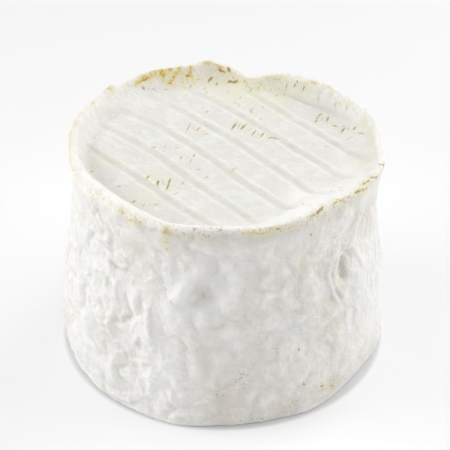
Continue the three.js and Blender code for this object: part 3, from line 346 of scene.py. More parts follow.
# Painted light: whiter patches that brighten slopes, lobes and ridges the lamps leave too dark: angle, distance over
# the rim, half width round, half width over it, strength
PAINTED_LIGHT_PATCHES = [
    (302.0, -5.0, 13.0, 5.0, 1.0), (323.0, -5.0, 10.0, 5.0, 0.40), (340.0, -5.0, 6.0, 4.0, 0.30), (102.0, -2.5, 8.0, 3.0, 0.50), (133.0, -6.0, 10.0, 5.0, 0.70), (261.5, 22.5, 4.5, 4.5, 0.34), (268.5, 24.0, 2.6, 4.5, 0.60), (286.0, -7.0, 12.0, 4.5, 0.65), (272.0, -6.5, 10.0, 4.0, 0.65), (316.0, -13.0, 9.0, 5.0, 0.90), (335.0, 44.0, 10.0, 16.0, 0.45), (196.0, -0.5, 7.0, 1.6, 0.45), (223.0, -1.2, 12.0, 1.8, 0.5),
    (248.0, 0.0, 5.0, 1.8, 0.4), (275.0, -4.0, 10.0, 3.5, 0.5), (352.0, -3.5, 5.0, 3.0, 0.12), (205.0, 1.5, 9.0, 2.0, 0.25), (16.0, -8.0, 10.0, 4.0, 0.55), (162.0, -8.5, 15.0, 4.5, 0.70), (348.0, -9.0, 9.0, 4.5, 0.60), (2.0, -10.0, 8.0, 4.0, 0.50), (322.0, -9.0, 10.0, 4.0, 0.45),
    (252.5, 49.0, 8.0, 15.0, 0.90), (242.5, 33.0, 4.5, 8.0, 0.75), (256.0, 23.0, 3.4, 8.0, 0.80), (249.0, 44.0, 4.5, 12.0, 0.90), (248.0, 31.0, 5.0, 9.0, 0.85), (205.0, 52.0, 12.0, 12.0, 0.50),
]
# Specks of brown crumb: angle, distance over the rim or height on the side, half width round, half height, strength
RIM_SPECKS = [
    (244.0, 2.0, 8.0, 1.6, 0.7), (262.0, 1.6, 8.0, 1.9, 1.05), (280.0, 1.6, 9.0, 1.5, 0.7), (300.0, 1.4, 9.0, 1.6, 0.8), (318.0, 1.4, 9.0, 1.6, 0.8), (333.0, 1.2, 8.0, 1.6, 0.8),
    (218.0, 1.8, 6.0, 1.5, 0.5), (205.0, 1.6, 6.0, 1.4, 0.4), (125.0, -1.6, 9.0, 1.6, 0.35), (108.0, -4.2, 8.0, 3.0, 0.3), (88.0, -3.0, 9.0, 2.4, 0.3), (66.0, -3.0, 9.0, 2.6, 0.3),
    (45.0, -1.6, 9.0, 2.0, 0.3), (30.0, -2.4, 8.0, 2.4, 0.3), (150.0, 1.2, 12.0, 1.5, 0.5), (100.0, 1.4, 12.0, 1.5, 0.6), (60.0, 1.4, 12.0, 1.5, 0.6), (15.0, 1.0, 10.0, 1.5, 0.5),
]
SIDE_SPECKS = [
    (277.0, 16.5, 2.0, 3.2, 1.15), (268.4, 11.6, 2.2, 1.8, 1.05), (272.5, 14.0, 2.2, 1.2, 0.8), (284.0, 1.6, 9.0, 1.2, 0.9), (270.0, 1.4, 7.0, 1.0, 0.8), (277.2, 44.0, 1.4, 1.4, 0.6), (289.0, 24.8, 2.4, 1.4, 0.6), (295.0, 5.0, 2.4, 1.6, 1.0), (312.0, 5.4, 3.6, 2.2, 0.85),
    (260.0, 26.0, 3.0, 4.0, 0.3), (283.0, 30.0, 6.0, 6.0, 0.3), (300.0, 10.0, 5.0, 4.0, 0.35), (268.0, 4.0, 9.0, 3.0, 0.4), (318.0, 50.0, 4.0, 4.0, 0.3), (130.0, 12.0, 7.0, 5.0, 0.5), (50.0, 12.0, 7.0, 5.0, 0.5),
]

# ---------------------------------------------------------------------------------------------------------------
# Resolution of the mesh
# ---------------------------------------------------------------------------------------------------------------
GRID = 130                # cells along one side of the square grid that is wrapped on to the dish
COLUMNS = 4 * GRID
LIP_BAND = 3.6            # width of the ring of finer rows inside the crest
LIP_ROWS = 8
EDGE_ROWS = 5
SIDE_ROWS = 132
FOOT_ROWS = 3
UNDER_BAND = 2.2
UNDER_GRID = GRID // 2


def around(degrees, centre):
    return (np.asarray(degrees, float) - centre + 180.0) % 360.0 - 180.0


def bell(x):
    return np.exp(-x * x)


def smooth(x, low, high):
    t = np.clip((x - low) / (high - low), 0.0, 1.0)
    return t * t * (3.0 - 2.0 * t)


def station(table, degrees):
    """Smooth periodic curve through a table that goes round in equal steps."""
    t = np.asarray(table, float)
    n = len(t)
    u = (np.asarray(degrees, float) % 360.0) / STEP
    i = np.floor(u).astype(int)
    f = u - i
    a, b, c, d = t[(i - 1) % n], t[i % n], t[(i + 1) % n], t[(i + 2) % n]
    return 0.5 * (2 * b + (c - a) * f + (2 * a - 5 * b + 4 * c - d) * f * f + (3 * b - a - 3 * c + d) * f ** 3)


def rim_radius(deg):
    r = station(RIM_RADIUS, deg)
    for at, half, _, out in RIM_LUMPS:
        r = r + out * bell(around(deg, at) / half)
    return r


def crest_height(deg):
    z = RIM_LEVEL + station(CREST_RISE, deg)
    for at, half, rise, _ in RIM_LUMPS:
        z = z + rise * bell(around(deg, at) / half)
    return z


def edge_round(deg):
    return station(EDGE_ROUND, deg) + 2.2 * bell(around(deg, 80.0) / 7.0)


def wall_radius(z):
    zt, rt = np.asarray(WALL_Z), np.asarray(WALL_R)
    m = np.gradient(rt, zt)
    z = np.clip(np.asarray(z, float), zt[0], zt[-1])
    i = np.clip(np.searchsorted(zt, z, side="right") - 1, 0, len(zt) - 2)
    h = zt[i + 1] - zt[i]
    t = (z - zt[i]) / h
    return ((2 * t ** 3 - 3 * t ** 2 + 1) * rt[i] + (t ** 3 - 2 * t ** 2 + t) * h * m[i]
            + (-2 * t ** 3 + 3 * t ** 2) * rt[i + 1] + (t ** 3 - t ** 2) * h * m[i + 1])


def side_radius(deg, z):
    deg = np.asarray(deg, float)
    z = np.asarray(z, float)
    r = wall_radius(z) + (rim_radius(deg) - MEAN_RIM) * (0.15 + 0.85 * smooth(z, 30.0, 63.0))
    low = bell(z / 22.0)
    for count, size, phase in FOOT_LOBES:
        r = r + low * size * np.cos(count * np.radians(deg) + phase)
    r = r + bell(z / FOOT_REACH_HEIGHT) * station(FOOT_REACH, deg)
    for at, height, half_round, half_up, out in SIDE_LUMPS:
        a = np.radians(around(deg, at)) * MEAN_RIM
        r = r + out * np.exp(-(a / half_round) ** 2 - ((z - height) / half_up) ** 2)
    return r


def dish_shape(x, y):
    """Height of the dish and of the slope up to the crest, without grooves, and the share of the way down."""
    r = np.hypot(x, y)
    deg = np.degrees(np.arctan2(y, x))
    rounding = edge_round(deg)
    level = crest_height(deg)
    bead = 0.3 * (0.35 * rounding + 0.25) + BEAD_EXTRA * bell(around(deg, BEAD_ANGLE) / BEAD_SPREAD)
    inward = np.maximum(rim_radius(deg) - rounding - r, 0.0) - bead
    t = np.clip(inward / station(SLOPE_RUN, deg), 0.0, 1.0)
    floor = RIM_LEVEL - CROWN_DEPTH - CROWN_FALL * ((x - CROWN_X) ** 2 + (y - CROWN_Y) ** 2)
    soft = np.clip(station(SLOPE_SOFT, deg), 0.0, 1.0)
    steep = (1.0 - (1.0 - t) ** 2.8) * smooth(inward, -0.1, 0.8)
    share = soft * t * t * (3.0 - 2.0 * t) + (1.0 - soft) * steep
    return level + (floor - level) * share, share


def top_height(x, y):
    return dish_shape(x, y)[0]


def groove_bend(slot, along):
    """How far groove number `slot` lies off the even spacing, at a distance along it."""
    bends = np.array(GROOVE_BENDS)
    last = bends.shape[1] - 1
    u = np.clip(along / GROOVE_BEND_STEP + last / 2, 0.0, last - 1e-6)
    i = np.floor(u).astype(int)
    f = u - i
    a, b, c, d = bends[slot, np.maximum(i - 1, 0)], bends[slot, i], bends[slot, i + 1], bends[slot, np.minimum(i + 2, last)]
    return 0.5 * (2 * b + (c - a) * f + (2 * a - 5 * b + 4 * c - d) * f * f + (3 * b - a - 3 * c + d) * f ** 3)


# ---------------------------------------------------------------------------------------------------------------
# Noise
# ---------------------------------------------------------------------------------------------------------------
def _hash(ix, iy, iz, seed):
    h = (ix * 374761393 + iy * 668265263 + iz * 1440662683 + seed * 974711 + 12345) & 0xFFFFFFFF
    h = ((h ^ (h >> 13)) * 1274126177) & 0xFFFFFFFF
    h = ((h ^ (h >> 15)) * 2246822519) & 0xFFFFFFFF
    return h ^ (h >> 16)


def noise(p, seed):
    """Gradient noise of 3-D places, about -1 to 1."""
    cell = np.floor(p).astype(np.int64)
    f = p - cell
    w = f * f * f * (f * (f * 6 - 15) + 10)
    total = np.zeros(len(p))
    for dx in (0, 1):
        for dy in (0, 1):
            for dz in (0, 1):
                h = _hash(cell[:, 0] + dx, cell[:, 1] + dy, cell[:, 2] + dz, seed)
                a = (h & 0xFFFF) / 65535.0 * 2 * math.pi
                c = ((h >> 16) & 0xFFFF) / 65535.0 * 2 - 1
                s = np.sqrt(np.maximum(1 - c * c, 0))
                g = (s * np.cos(a)) * (f[:, 0] - dx) + (s * np.sin(a)) * (f[:, 1] - dy) + c * (f[:, 2] - dz)
                k = (w[:, 0] if dx else 1 - w[:, 0]) * (w[:, 1] if dy else 1 - w[:, 1]) * (w[:, 2] if dz else 1 - w[:, 2])
                total += g * k
    return total * 1.6


def rough(p, size, seed, octaves=3, gain=0.5):
    """Several octaves of noise; size is the largest feature, in millimetres."""
    total, amp, s = np.zeros(len(p)), 1.0, size
    for o in range(octaves):
        total += amp * noise(p / s + 17.3 * o, seed + 31 * o)
        amp *= gain
        s *= 0.5
    return total


def ridged(p, size, seed, warp=0.6, stretch=(1.0, 1.0, 1.0)):
    """Worm-like ridges, 0 to 1."""
    q = p / np.array(stretch)
    shift = np.stack([noise(q / size * 0.9 + 5.1, seed + 1), noise(q / size * 0.9 + 9.7, seed + 2), noise(q / size * 0.9 + 2.3, seed + 3)], 1)
    n = noise(q / size + warp * shift, seed)
    return np.clip(1.0 - np.abs(n) * 2.6, 0.0, 1.0) ** 1.5


def line_distance(u, v, stations):
    """Signed distance in millimetres from places (u, v) to a run of stations, and how far along the run it is (0 to 1).
    Positive is to the right of the run's direction."""
    best = np.full(u.shape, 1e9)
    sign = np.ones(u.shape)
    along = np.zeros(u.shape)
    pts = np.asarray(stations, float)
    lengths = np.hypot(*(pts[1:] - pts[:-1]).T)
    total, done = max(lengths.sum(), 1e-6), 0.0
    for (ax, ay), (bx, by), length in zip(pts[:-1], pts[1:], lengths):
        dx, dy = bx - ax, by - ay
        t = np.clip(((u - ax) * dx + (v - ay) * dy) / max(length * length, 1e-9), 0.0, 1.0)
        px, py = u - ax - t * dx, v - ay - t * dy
        d = np.hypot(px, py)
        closer = d < best
        best = np.where(closer, d, best)
        sign = np.where(closer, np.where(px * dy - py * dx >= 0, 1.0, -1.0), sign)
        along = np.where(closer, (done + t * length) / total, along)
        done += length
    return best * sign, along


def near(deg, at, reach):
    return np.abs(around(deg, at)) * math.radians(1) * MEAN_RIM < reach


# ---------------------------------------------------------------------------------------------------------------
# Mesh: a square grid wrapped on to the dish, rings over the rim and down the side, and the underside
# ---------------------------------------------------------------------------------------------------------------
def disc_grid(n):
    """Places of an n by n grid on the unit disc, equal areas: share of the radius, angle in degrees, and the quads."""
    a, b = np.meshgrid(np.linspace(-1, 1, n + 1), np.linspace(-1, 1, n + 1), indexing="ij")
    wide = np.abs(a) > np.abs(b)
    r = np.where(wide, a, b)
    with np.errstate(divide="ignore", invalid="ignore"):
        phi = np.where(wide, (math.pi / 4) * (b / a), (math.pi / 2) - (math.pi / 4) * (a / b))
    phi = np.nan_to_num(phi)
    x, y = (r * np.cos(phi)).ravel(), (r * np.sin(phi)).ravel()
    index = np.arange((n + 1) ** 2).reshape(n + 1, n + 1)
    quads = np.stack([index[:-1, :-1], index[1:, :-1], index[1:, 1:], index[:-1, 1:]], -1).reshape(-1, 4)
    rim = np.unique(np.concatenate([index[0], index[-1], index[:, 0], index[:, -1]]))
    deg = np.degrees(np.arctan2(y, x)) % 360.0
    order = rim[np.argsort(np.round(deg[rim], 6) % 360.0)]
    return np.hypot(x, y), deg, quads, order


class Builder:
    def __init__(self):
        self.places, self.deg, self.over, self.quads, self.tris, self.count = [], [], [], [], [], 0

    def add(self, deg, r, z, over):
        """Adds vertices at angles and radii; over is the distance over the rim, measured from the crest outwards."""
        a = np.radians(deg)
        self.places.append(np.stack([r * np.cos(a), r * np.sin(a), z], 1))
        self.deg.append(np.asarray(deg, float))
        self.over.append(np.asarray(over, float))
        ids = np.arange(self.count, self.count + len(deg))
        self.count += len(deg)
        return ids

    def band(self, inner, outer):
        """Quads between two rings of equal count, facing up or out when inner is the upper or inner ring."""
        self.quads.append(np.stack([inner, outer, np.roll(outer, -1), np.roll(inner, -1)], 1))


build = Builder()
share, grid_deg, grid_quads, grid_rim = disc_grid(GRID)
grid_deg[grid_rim] = np.arange(COLUMNS) * 360.0 / COLUMNS
ring_deg = np.arange(COLUMNS) * 360.0 / COLUMNS


def crest_radius(deg):
    e = edge_round(deg)
    return side_radius(deg, crest_height(deg) - e) - e


r_crest = crest_radius(grid_deg)
r = share * (r_crest - LIP_BAND)
x, y = r * np.cos(np.radians(grid_deg)), r * np.sin(np.radians(grid_deg))
ids = build.add(grid_deg, r, top_height(x, y), r - r_crest)
build.quads.append(ids[grid_quads])
top_ids_end = build.count
previous = ids[grid_rim]
e, zc, rc = edge_round(ring_deg), crest_height(ring_deg), crest_radius(ring_deg)
for i in range(1, LIP_ROWS + 1):
    r = rc - LIP_BAND * (1 - i / LIP_ROWS)
    x, y = r * np.cos(np.radians(ring_deg)), r * np.sin(np.radians(ring_deg))
    z = top_height(x, y) if i < LIP_ROWS else zc
    ring = build.add(ring_deg, r, z, r - rc)
    build.band(previous, ring)
    previous = ring
for i in range(1, EDGE_ROWS + 1):
    a = math.pi / 2 * (1 - i / EDGE_ROWS)
    r = side_radius(ring_deg, zc - e) - e * (1 - math.cos(a))
    ring = build.add(ring_deg, r, zc - e + e * math.sin(a), e * (math.pi / 2 - a))
    build.band(previous, ring)
    previous = ring
for i in range(1, SIDE_ROWS + 1):
    z = (zc - e) + (FOOT_ROUND - (zc - e)) * i / SIDE_ROWS
    ring = build.add(ring_deg, side_radius(ring_deg, z), z, e * math.pi / 2 + zc - e - z)
    build.band(previous, ring)
    previous = ring
side_end_over = e * math.pi / 2 + zc - e - FOOT_ROUND
for i in range(1, FOOT_ROWS + 1):
    a = math.pi / 2 * i / FOOT_ROWS
    r = side_radius(ring_deg, FOOT_ROUND) - FOOT_ROUND * (1 - math.cos(a))
    ring = build.add(ring_deg, r, FOOT_ROUND * (1 - math.sin(a)) * np.ones(COLUMNS), side_end_over + FOOT_ROUND * a)
    build.band(previous, ring)
    previous = ring
under_start = build.count - COLUMNS
# underside: half as many columns
r_under = side_radius(ring_deg, FOOT_ROUND) - FOOT_ROUND
half_deg = ring_deg[::2]
share2, deg2, quads2, rim2 = disc_grid(UNDER_GRID)
deg2[rim2] = half_deg
r_edge = (side_radius(deg2, FOOT_ROUND) - FOOT_ROUND) - UNDER_BAND
ids = build.add(deg2, share2 * r_edge, np.zeros(len(deg2)), 200.0 + (1 - share2) * 40.0)
build.quads.append(ids[quads2][:, ::-1])
inner = ids[rim2]
outer = previous
nxt = np.roll(inner, -1)
o0, o1, o2 = outer[0::2], outer[1::2], np.roll(outer[0::2], -1)
build.tris.append(np.stack([inner, o0, o1], 1)[:, ::-1])
build.tris.append(np.stack([inner, o1, nxt], 1)[:, ::-1])
build.tris.append(np.stack([nxt, o1, o2], 1)[:, ::-1])

P = np.concatenate(build.places)
DEG = np.concatenate(build.deg) % 360.0
OVER = np.concatenate(build.over)
QUADS = np.concatenate(build.quads)
TRIS = np.concatenate(build.tris)


def facing_up(P, faces):
    a, b, c = P[faces[:, 0]], P[faces[:, 1]], P[faces[:, 2]]
    return np.cross(b - a, c - a)


# every face outward: the grid's own order is checked once, as a whole
n = facing_up(P, QUADS[: len(grid_quads)])
if n[:, 2].mean() < 0:
    QUADS[: len(grid_quads)] = QUADS[: len(grid_quads)][:, ::-1]
first = len(grid_quads)
band_quads = QUADS[first:first + COLUMNS * (LIP_ROWS + EDGE_ROWS + SIDE_ROWS + FOOT_ROWS)]
side_probe = band_quads[COLUMNS * (LIP_ROWS + EDGE_ROWS + 20):COLUMNS * (LIP_ROWS + EDGE_ROWS + 21)]
centre = P[side_probe].mean(1)
if (facing_up(P, side_probe)[:, :2] * centre[:, :2]).sum(1).mean() < 0:
    QUADS[first:first + len(band_quads)] = band_quads[:, ::-1]
under_quads = QUADS[first + len(band_quads):]
if facing_up(P, under_quads)[:, 2].mean() > 0:
    QUADS[first + len(band_quads):] = under_quads[:, ::-1]
if facing_up(P, TRIS)[:, 2].mean() > 0:
    TRIS = TRIS[:, ::-1]


def normals(P):
    n = np.zeros_like(P)
    for faces in (QUADS, TRIS):
        a, b, c, d = (P[faces[:, k % faces.shape[1]]] for k in range(4))
        f = np.cross(c - a, d - b) if faces.shape[1] == 4 else np.cross(b - a, c - a)
        for k in range(faces.shape[1]):
            np.add.at(n, faces[:, k], f)
    return n / np.maximum(np.linalg.norm(n, axis=1, keepdims=True), 1e-12)


on_top = OVER < 0.001
# length along the surface from the crest, negative inside it
ARC = OVER.copy()
top_index = np.nonzero(on_top & (OVER < 0))[0]
ct, st_ = np.cos(np.radians(DEG[top_index])), np.sin(np.radians(DEG[top_index]))
reach = np.minimum(-OVER[top_index], 16.0)
rest = -OVER[top_index] - reach
r_out = crest_radius(DEG[top_index])
length, z_before = np.zeros(len(top_index)), crest_height(DEG[top_index])
for i in range(1, 33):
    r_i = r_out - reach * i / 32
    z_i = top_height(r_i * ct, r_i * st_)
    length += np.hypot(reach / 32, z_i - z_before)
    z_before = z_i
ARC[top_index] = -(length + rest)
on_under = np.arange(len(P)) >= under_start
on_side = ~on_top & ~on_under
RADIUS = np.hypot(P[:, 0], P[:, 1])

# ---- the dish: grooves, soft swells ---------------------------------------------------------------------------
ga = math.radians(GROOVE_DEGREES)
wander = 0.14 * rough(P, 16.0, 5, 2) + 0.10 * rough(P, 4.0, 6, 1)
offset = -math.sin(ga) * P[:, 0] + math.cos(ga) * P[:, 1] + wander
slot_number = np.clip(np.round((offset - GROOVE_FIRST) / GROOVE_PITCH), 0, GROOVE_COUNT - 1).astype(int)
along = math.cos(ga) * P[:, 0] + math.sin(ga) * P[:, 1]
groove_s = offset - (GROOVE_FIRST + slot_number * GROOVE_PITCH) - groove_bend(slot_number, along)
inside = -OVER
groove_fade = np.where(on_top, smooth(inside, 1.8, 5.0), 0.0)
groove_depth = GROOVE_DEPTH * (1.0 + 0.35 * rough(P, 12.0, 7, 2)) * (0.50 + 0.50 * smooth(along, -36.0, -12.0))
groove_profile = bell(groove_s / GROOVE_HALF)
lips = bell((np.abs(groove_s) - 1.9) / 0.8)
P[:, 2] += groove_fade * (-groove_depth * groove_profile + GROOVE_LIP * lips)
swell = smooth(inside, 0.5, 6.0) * (0.16 * rough(P, 15.0, 11, 2) + 0.05 * rough(P, 4.5, 12, 2))
P[:, 2] += np.where(on_top, swell, 0.0)

# ---- the side: folds, pits, wrinkles --------------------------------------------------------------------------
u = DEG * math.radians(1) * MEAN_RIM
v = P[:, 2].copy()
push, crease, crest = np.zeros(len(P)), np.zeros(len(P)), np.zeros(len(P))
for stations, rise, right, left in SIDE_FOLDS:
    pts = [(a * math.radians(1) * MEAN_RIM, z) for a, z in stations]
    middle = stations[len(stations) // 2][0]
    m = on_side & near(DEG, middle, 26.0)
    s, t = line_distance(u[m], v[m], pts)
    taper = smooth(t, -0.02, 0.22) * smooth(1 - t, -0.02, 0.22)
    ends = np.where((t <= 0) | (t >= 1), 0.35, 1.0)
    strength = np.maximum(taper, 0.0) * ends
    push[m] += 1.10 * rise * np.exp(-(s / np.where(s > 0, right, left)) ** 2) * strength
    # the cuts of the folds get a painted shade mask, the rises a painted highlight mask
    if rise < 0:
        crease[m] = np.maximum(crease[m], min(1.0, -rise * 1.2) * bell(s / (0.5 + 0.5 * right)) * strength)
    else:
        crest[m] = np.maximum(crest[m], min(1.0, rise * 0.95) * bell(s / (0.35 + 0.4 * left)) * strength)
for at, height, half, depth in SIDE_PITS:
    a = np.radians(around(DEG, at)) * MEAN_RIM
    push -= np.where(on_side, depth * np.exp(-(a / half) ** 2 - ((v - height) / half) ** 2), 0.0)

at, spread, mid = WRINKLED
wrinkled = bell(around(DEG, at) / spread) * bell((v - mid) / 30.0)
foot_calm = smooth(v, 0.4, 3.0)
rim_calm = smooth(OVER, 0.6, 4.0)
amount = foot_calm * rim_calm
hidden = bell(around(DEG, 90.0) / 80.0)
wr = 0.40 + 0.60 * np.maximum(wrinkled, 0.45 * hidden)
lump = np.abs(noise(P / 4.6 + 0.5 * np.stack([noise(P / 5.0 + 3.1, 22), noise(P / 5.0 + 7.7, 23), noise(P / 5.0 + 1.9, 24)], 1), 21)) - 0.28
lump2 = np.abs(noise(P / 2.7 + 0.4 * np.stack([noise(P / 3.0 + 3.1, 26), noise(P / 3.0 + 7.7, 27), noise(P / 3.0 + 1.9, 28)], 1), 25)) - 0.28
billow = np.abs(noise(P / 8.5 + 0.35 * np.stack([noise(P / 7.0 + 4.4, 32), noise(P / 7.0 + 8.3, 33), noise(P / 7.0 + 2.2, 34)], 1), 31)) - 0.28
worms = ridged(P, 6.4, 29, 0.9, (1.0, 1.0, 1.25)) - 0.30
small = ridged(P, 3.4, 41, 0.9, (1.0, 1.0, 1.1)) - 0.30
soft = rough(P, 10.0, 51, 3, 0.5)
fine = rough(P, 2.4, 61, 2, 0.6)
# calm and rough areas alternate
patchy = 0.25 + 0.75 * smooth(rough(P, 13.0, 63, 2), -0.30, 0.45)
relief = (wr * patchy * (0.55 * lump + 0.18 * lump2 + 0.46 * worms + 0.10 * small) + (0.95 + 0.70 * wr) * billow
          + (0.42 + 0.22 * wr) * soft + (0.09 + 0.06 * wr) * fine)
# fine streaks that run down from the rim on the right, leaning back as they go
lean_u = around(DEG, 325.0) * math.radians(1) * MEAN_RIM - 0.62 * (v - 50.0)
streak = noise(np.stack([lean_u / 1.5, (v + 0.3 * lean_u) / 9.0, np.full(len(P), 3.7)], 1), 65)
streak_zone = bell(around(DEG, 322.0) / 26.0) * smooth(v, 36.0, 50.0)
relief = relief * (1.0 - 0.35 * bell(around(DEG, 336.0) / 18.0))
relief = relief * (1.0 - 0.65 * bell(around(DEG, 239.0) / 5.5) * bell((v - 41.0) / 6.5))
push += np.where(on_side, amount * (relief + 0.14 * streak_zone * streak), 0.0)

# ---- the rim: small waves along the lip, torn edge at the back ------------------------------------------------
lip = bell(OVER / 2.6) * ~on_under
push += lip * (0.24 * rough(P, 5.0, 71, 2) + 0.17 * rough(P, 2.0, 72, 2) + 0.07 * rough(P, 1.2, 74, 1))
push += np.where(on_top, smooth(inside, 0.0, 4.0) * 0.018 * rough(P, 1.5, 73, 2), 0.0)
N = normals(P)
P += N * push[:, None]
P[:, 2] = np.maximum(P[:, 2], 0.0)
# the foot's own outline: small waves, outwards only in plan so that the base stays flat
foot = np.where(on_top | (OVER > 190.0), 0.0, bell(P[:, 2] / 4.5)) * (0.42 * rough(P * (1, 1, 0), 7.0, 91, 2) + 0.16 * rough(P * (1, 1, 0), 2.2, 92, 1))
P[:, :2] *= 1.0 + (foot / np.maximum(np.hypot(P[:, 0], P[:, 1]), 1.0))[:, None]

# ---------------------------------------------------------------------------------------------------------------
# What the material reads: stains, painted shade and painted light, groove tint, hollows
# ---------------------------------------------------------------------------------------------------------------
gold, brown, halo = np.zeros(len(P)), np.zeros(len(P)), np.zeros(len(P))
arc = MEAN_RIM * math.radians(1)
for stations, half, g, b in RIM_STAINS:
    middle = 0.5 * (stations[0][0] + stations[-1][0])
    m = ~on_under & near(DEG, middle, 16.0) & (np.abs(ARC) < 16.0)
    pts = [((a - middle) * arc, o) for a, o in stations]
    s, _ = line_distance(around(DEG[m], middle) * arc, ARC[m], pts)
    wider = 1.25 + 0.95 * float(bell(around(middle, 116.0) / 15.0)) + 0.35 * float(bell(around(middle, 322.0) / 22.0))
    if 54.0 < middle < 119.0 and stations[0][1] < -1.4 and half < 1.0:  # the dashes below the crest at the back
        wider *= 1.35 if middle < 106.0 else 0.95
        b = min(1.0, 1.2 * b + 0.1) if middle < 101.0 else 0.75 * b
    gold[m] = np.maximum(gold[m], g * bell(s / (half * wider)))
    brown[m] = np.maximum(brown[m], b * bell(s / (half * 0.7 * wider)))
    halo[m] = np.maximum(halo[m], g * bell(s / (half + 1.5)))
for at, height, half, g, b in SIDE_SPOTS:
    m = on_side & near(DEG, at, 10.0)
    d = np.hypot(around(DEG[m], at) * arc, v[m] - height)
    gold[m] = np.maximum(gold[m], g * bell(d / (half * 1.3)))
    brown[m] = np.maximum(brown[m], b * bell(d / (half * 0.75)))
    halo[m] = np.maximum(halo[m], 0.8 * g * bell(d / (half + 1.8)))
# hidden back of the rim: the same kind of stains, by rule
rng = np.random.default_rng(8)
for _ in range(16):
    at, half = rng.uniform(8, 172), rng.uniform(0.4, 0.9)
    g, b, o = rng.uniform(0.5, 1.0), rng.uniform(0.0, 0.8), rng.uniform(0.8, 2.6)
    length = rng.uniform(0.3, 3.0)
    m = ~on_under & near(DEG, at, 10.0) & (OVER > 0)
    s, _ = line_distance(around(DEG[m], at) * arc, OVER[m], [(-length, o), (length, o + rng.uniform(-0.4, 0.4))])
    gold[m] = np.maximum(gold[m], g * bell(s / (half * 1.25)))
    brown[m] = np.maximum(brown[m], b * bell(s / (half * 0.85)))

# how golden the stains are: buff all round, gold at the back on the left
gild = np.clip(0.10 + 0.9 * bell(around(DEG, 116.0) / 22.0) + 0.28 * bell(around(DEG, 80.0) / 34.0), 0.0, 1.0)
# painted shade of the side, in warm grey
warm_shade = np.zeros(len(P))
for at, height, half_round, half_up, strength in SIDE_WARM_SHADE:
    a = np.radians(around(DEG, at)) * MEAN_RIM
    warm_shade = np.maximum(warm_shade, np.where(on_side | on_under, strength * np.exp(-(a / half_round) ** 2 - ((v - height) / half_up) ** 2), 0.0))
tint = groove_fade * bell(groove_s / 1.05)
tint = tint * np.clip(0.85 + 0.5 * rough(P, 6.0, 81, 2), 0.2, 1.3) * (0.42 + 0.58 * smooth(along, -34.0, -8.0))
olive_and_shade = np.zeros(len(P))
for x0, y0, half, strength in DISH_OLIVE_AND_SHADE:
    olive_and_shade = np.maximum(olive_and_shade, np.where(on_top, strength * bell(np.hypot(P[:, 0] - x0, P[:, 1] - y0) / half), 0.0))
for at, height, half_round, half_up, strength in SIDE_CREAM:
    a = around(DEG, at) * arc
    olive_and_shade = np.maximum(olive_and_shade, np.where(on_side, strength * np.exp(-(a / half_round) ** 2 - ((v - height) / half_up) ** 2), 0.0))
# painted light, from the patches above
painted_light = np.zeros(len(P))
for at, over, half_round, half_over, strength in PAINTED_LIGHT_PATCHES:
    a = around(DEG, at) * arc
    painted_light = np.maximum(painted_light, np.where(on_under, 0.0, strength * np.exp(-(a / half_round) ** 2 - ((ARC - over) / half_over) ** 2)))
speck = np.zeros(len(P))
for at, over, half_round, half_over, strength in RIM_SPECKS:
    a = around(DEG, at) * arc
    speck = np.maximum(speck, np.where(on_under, 0.0, strength * np.exp(-(a / half_round) ** 2 - ((ARC - over) / half_over) ** 2)))
for at, height, half_round, half_up, strength in SIDE_SPECKS:
    a = around(DEG, at) * arc
    speck = np.maximum(speck, np.where(on_side, strength * np.exp(-(a / half_round) ** 2 - ((v - height) / half_up) ** 2), 0.0))
basin = np.where(on_top, smooth(dish_shape(P[:, 0], P[:, 1])[1], 0.35, 1.0), 0.0)

tint = tint * (0.12 + 0.88 * basin)

# dashes: place along and across the nearest dash, in half lengths and half widths, and how far inside its own zone a
# vertex is
dash_u, dash_v = np.full(len(P), 9.0), np.full(len(P), 9.0)
dash_w, dash_k = np.full(len(P), -1.0), np.zeros(len(P))
dashes = np.array(DASHES)
t_ids = np.nonzero(on_top)[0]
d = np.hypot(P[t_ids, 0][:, None] - dashes[None, :, 0], P[t_ids, 1][:, None] - dashes[None, :, 1])
order = np.argsort(d, axis=1)
k = order[:, 0]
d0, d1 = d[np.arange(len(t_ids)), k], d[np.arange(len(t_ids)), order[:, 1]]
turn_to = np.radians(dashes[k, 2])
ex, ey = P[t_ids, 0] - dashes[k, 0], P[t_ids, 1] - dashes[k, 1]
close = d0 < 4.5
dash_u[t_ids] = np.where(close, (ex * np.cos(turn_to) + ey * np.sin(turn_to)) / dashes[k, 3], 9.0)
dash_v[t_ids] = np.where(close, (-ex * np.sin(turn_to) + ey * np.cos(turn_to)) / dashes[k, 4], 9.0)
dash_w[t_ids] = np.where(close, np.minimum(3.6 - d0, 0.5 * (d1 - d0)), -1.0)
dash_k[t_ids] = np.where(close, dashes[k, 5], 0.0)

# hollows: how far each vertex lies under the mean of its neighbours, spread over a few rounds
near_a = np.concatenate([QUADS[:, [0, 1]], QUADS[:, [1, 2]], QUADS[:, [2, 3]], QUADS[:, [3, 0]]])
near_count = np.bincount(near_a.ravel(), minlength=len(P)).astype(float)


def spread(values, rounds):
    out = values.copy()
    for _ in range(rounds):
        total = np.stack([np.bincount(near_a[:, 0], weights=out[near_a[:, 1], c], minlength=len(P))
                          + np.bincount(near_a[:, 1], weights=out[near_a[:, 0], c], minlength=len(P)) for c in range(out.shape[1])], 1)
        out = 0.5 * out + 0.5 * total / np.maximum(near_count[:, None], 1)
    return out


N = normals(P)
wide = spread(P, 14)
hollow = np.clip(((wide - P) * N).sum(1) / 0.22, -1.0, 1.0)

# ---------------------------------------------------------------------------------------------------------------
# Into Blender, moved from the wheel's axis frame to the row frame
# ---------------------------------------------------------------------------------------------------------------
BOX_CENTRE_X, BOX_CENTRE_Y = -0.1119, -0.0330   # middle of the CAD box in the axis frame
P_ROW = (P - np.array([BOX_CENTRE_X, BOX_CENTRE_Y, 0.0])) * MM

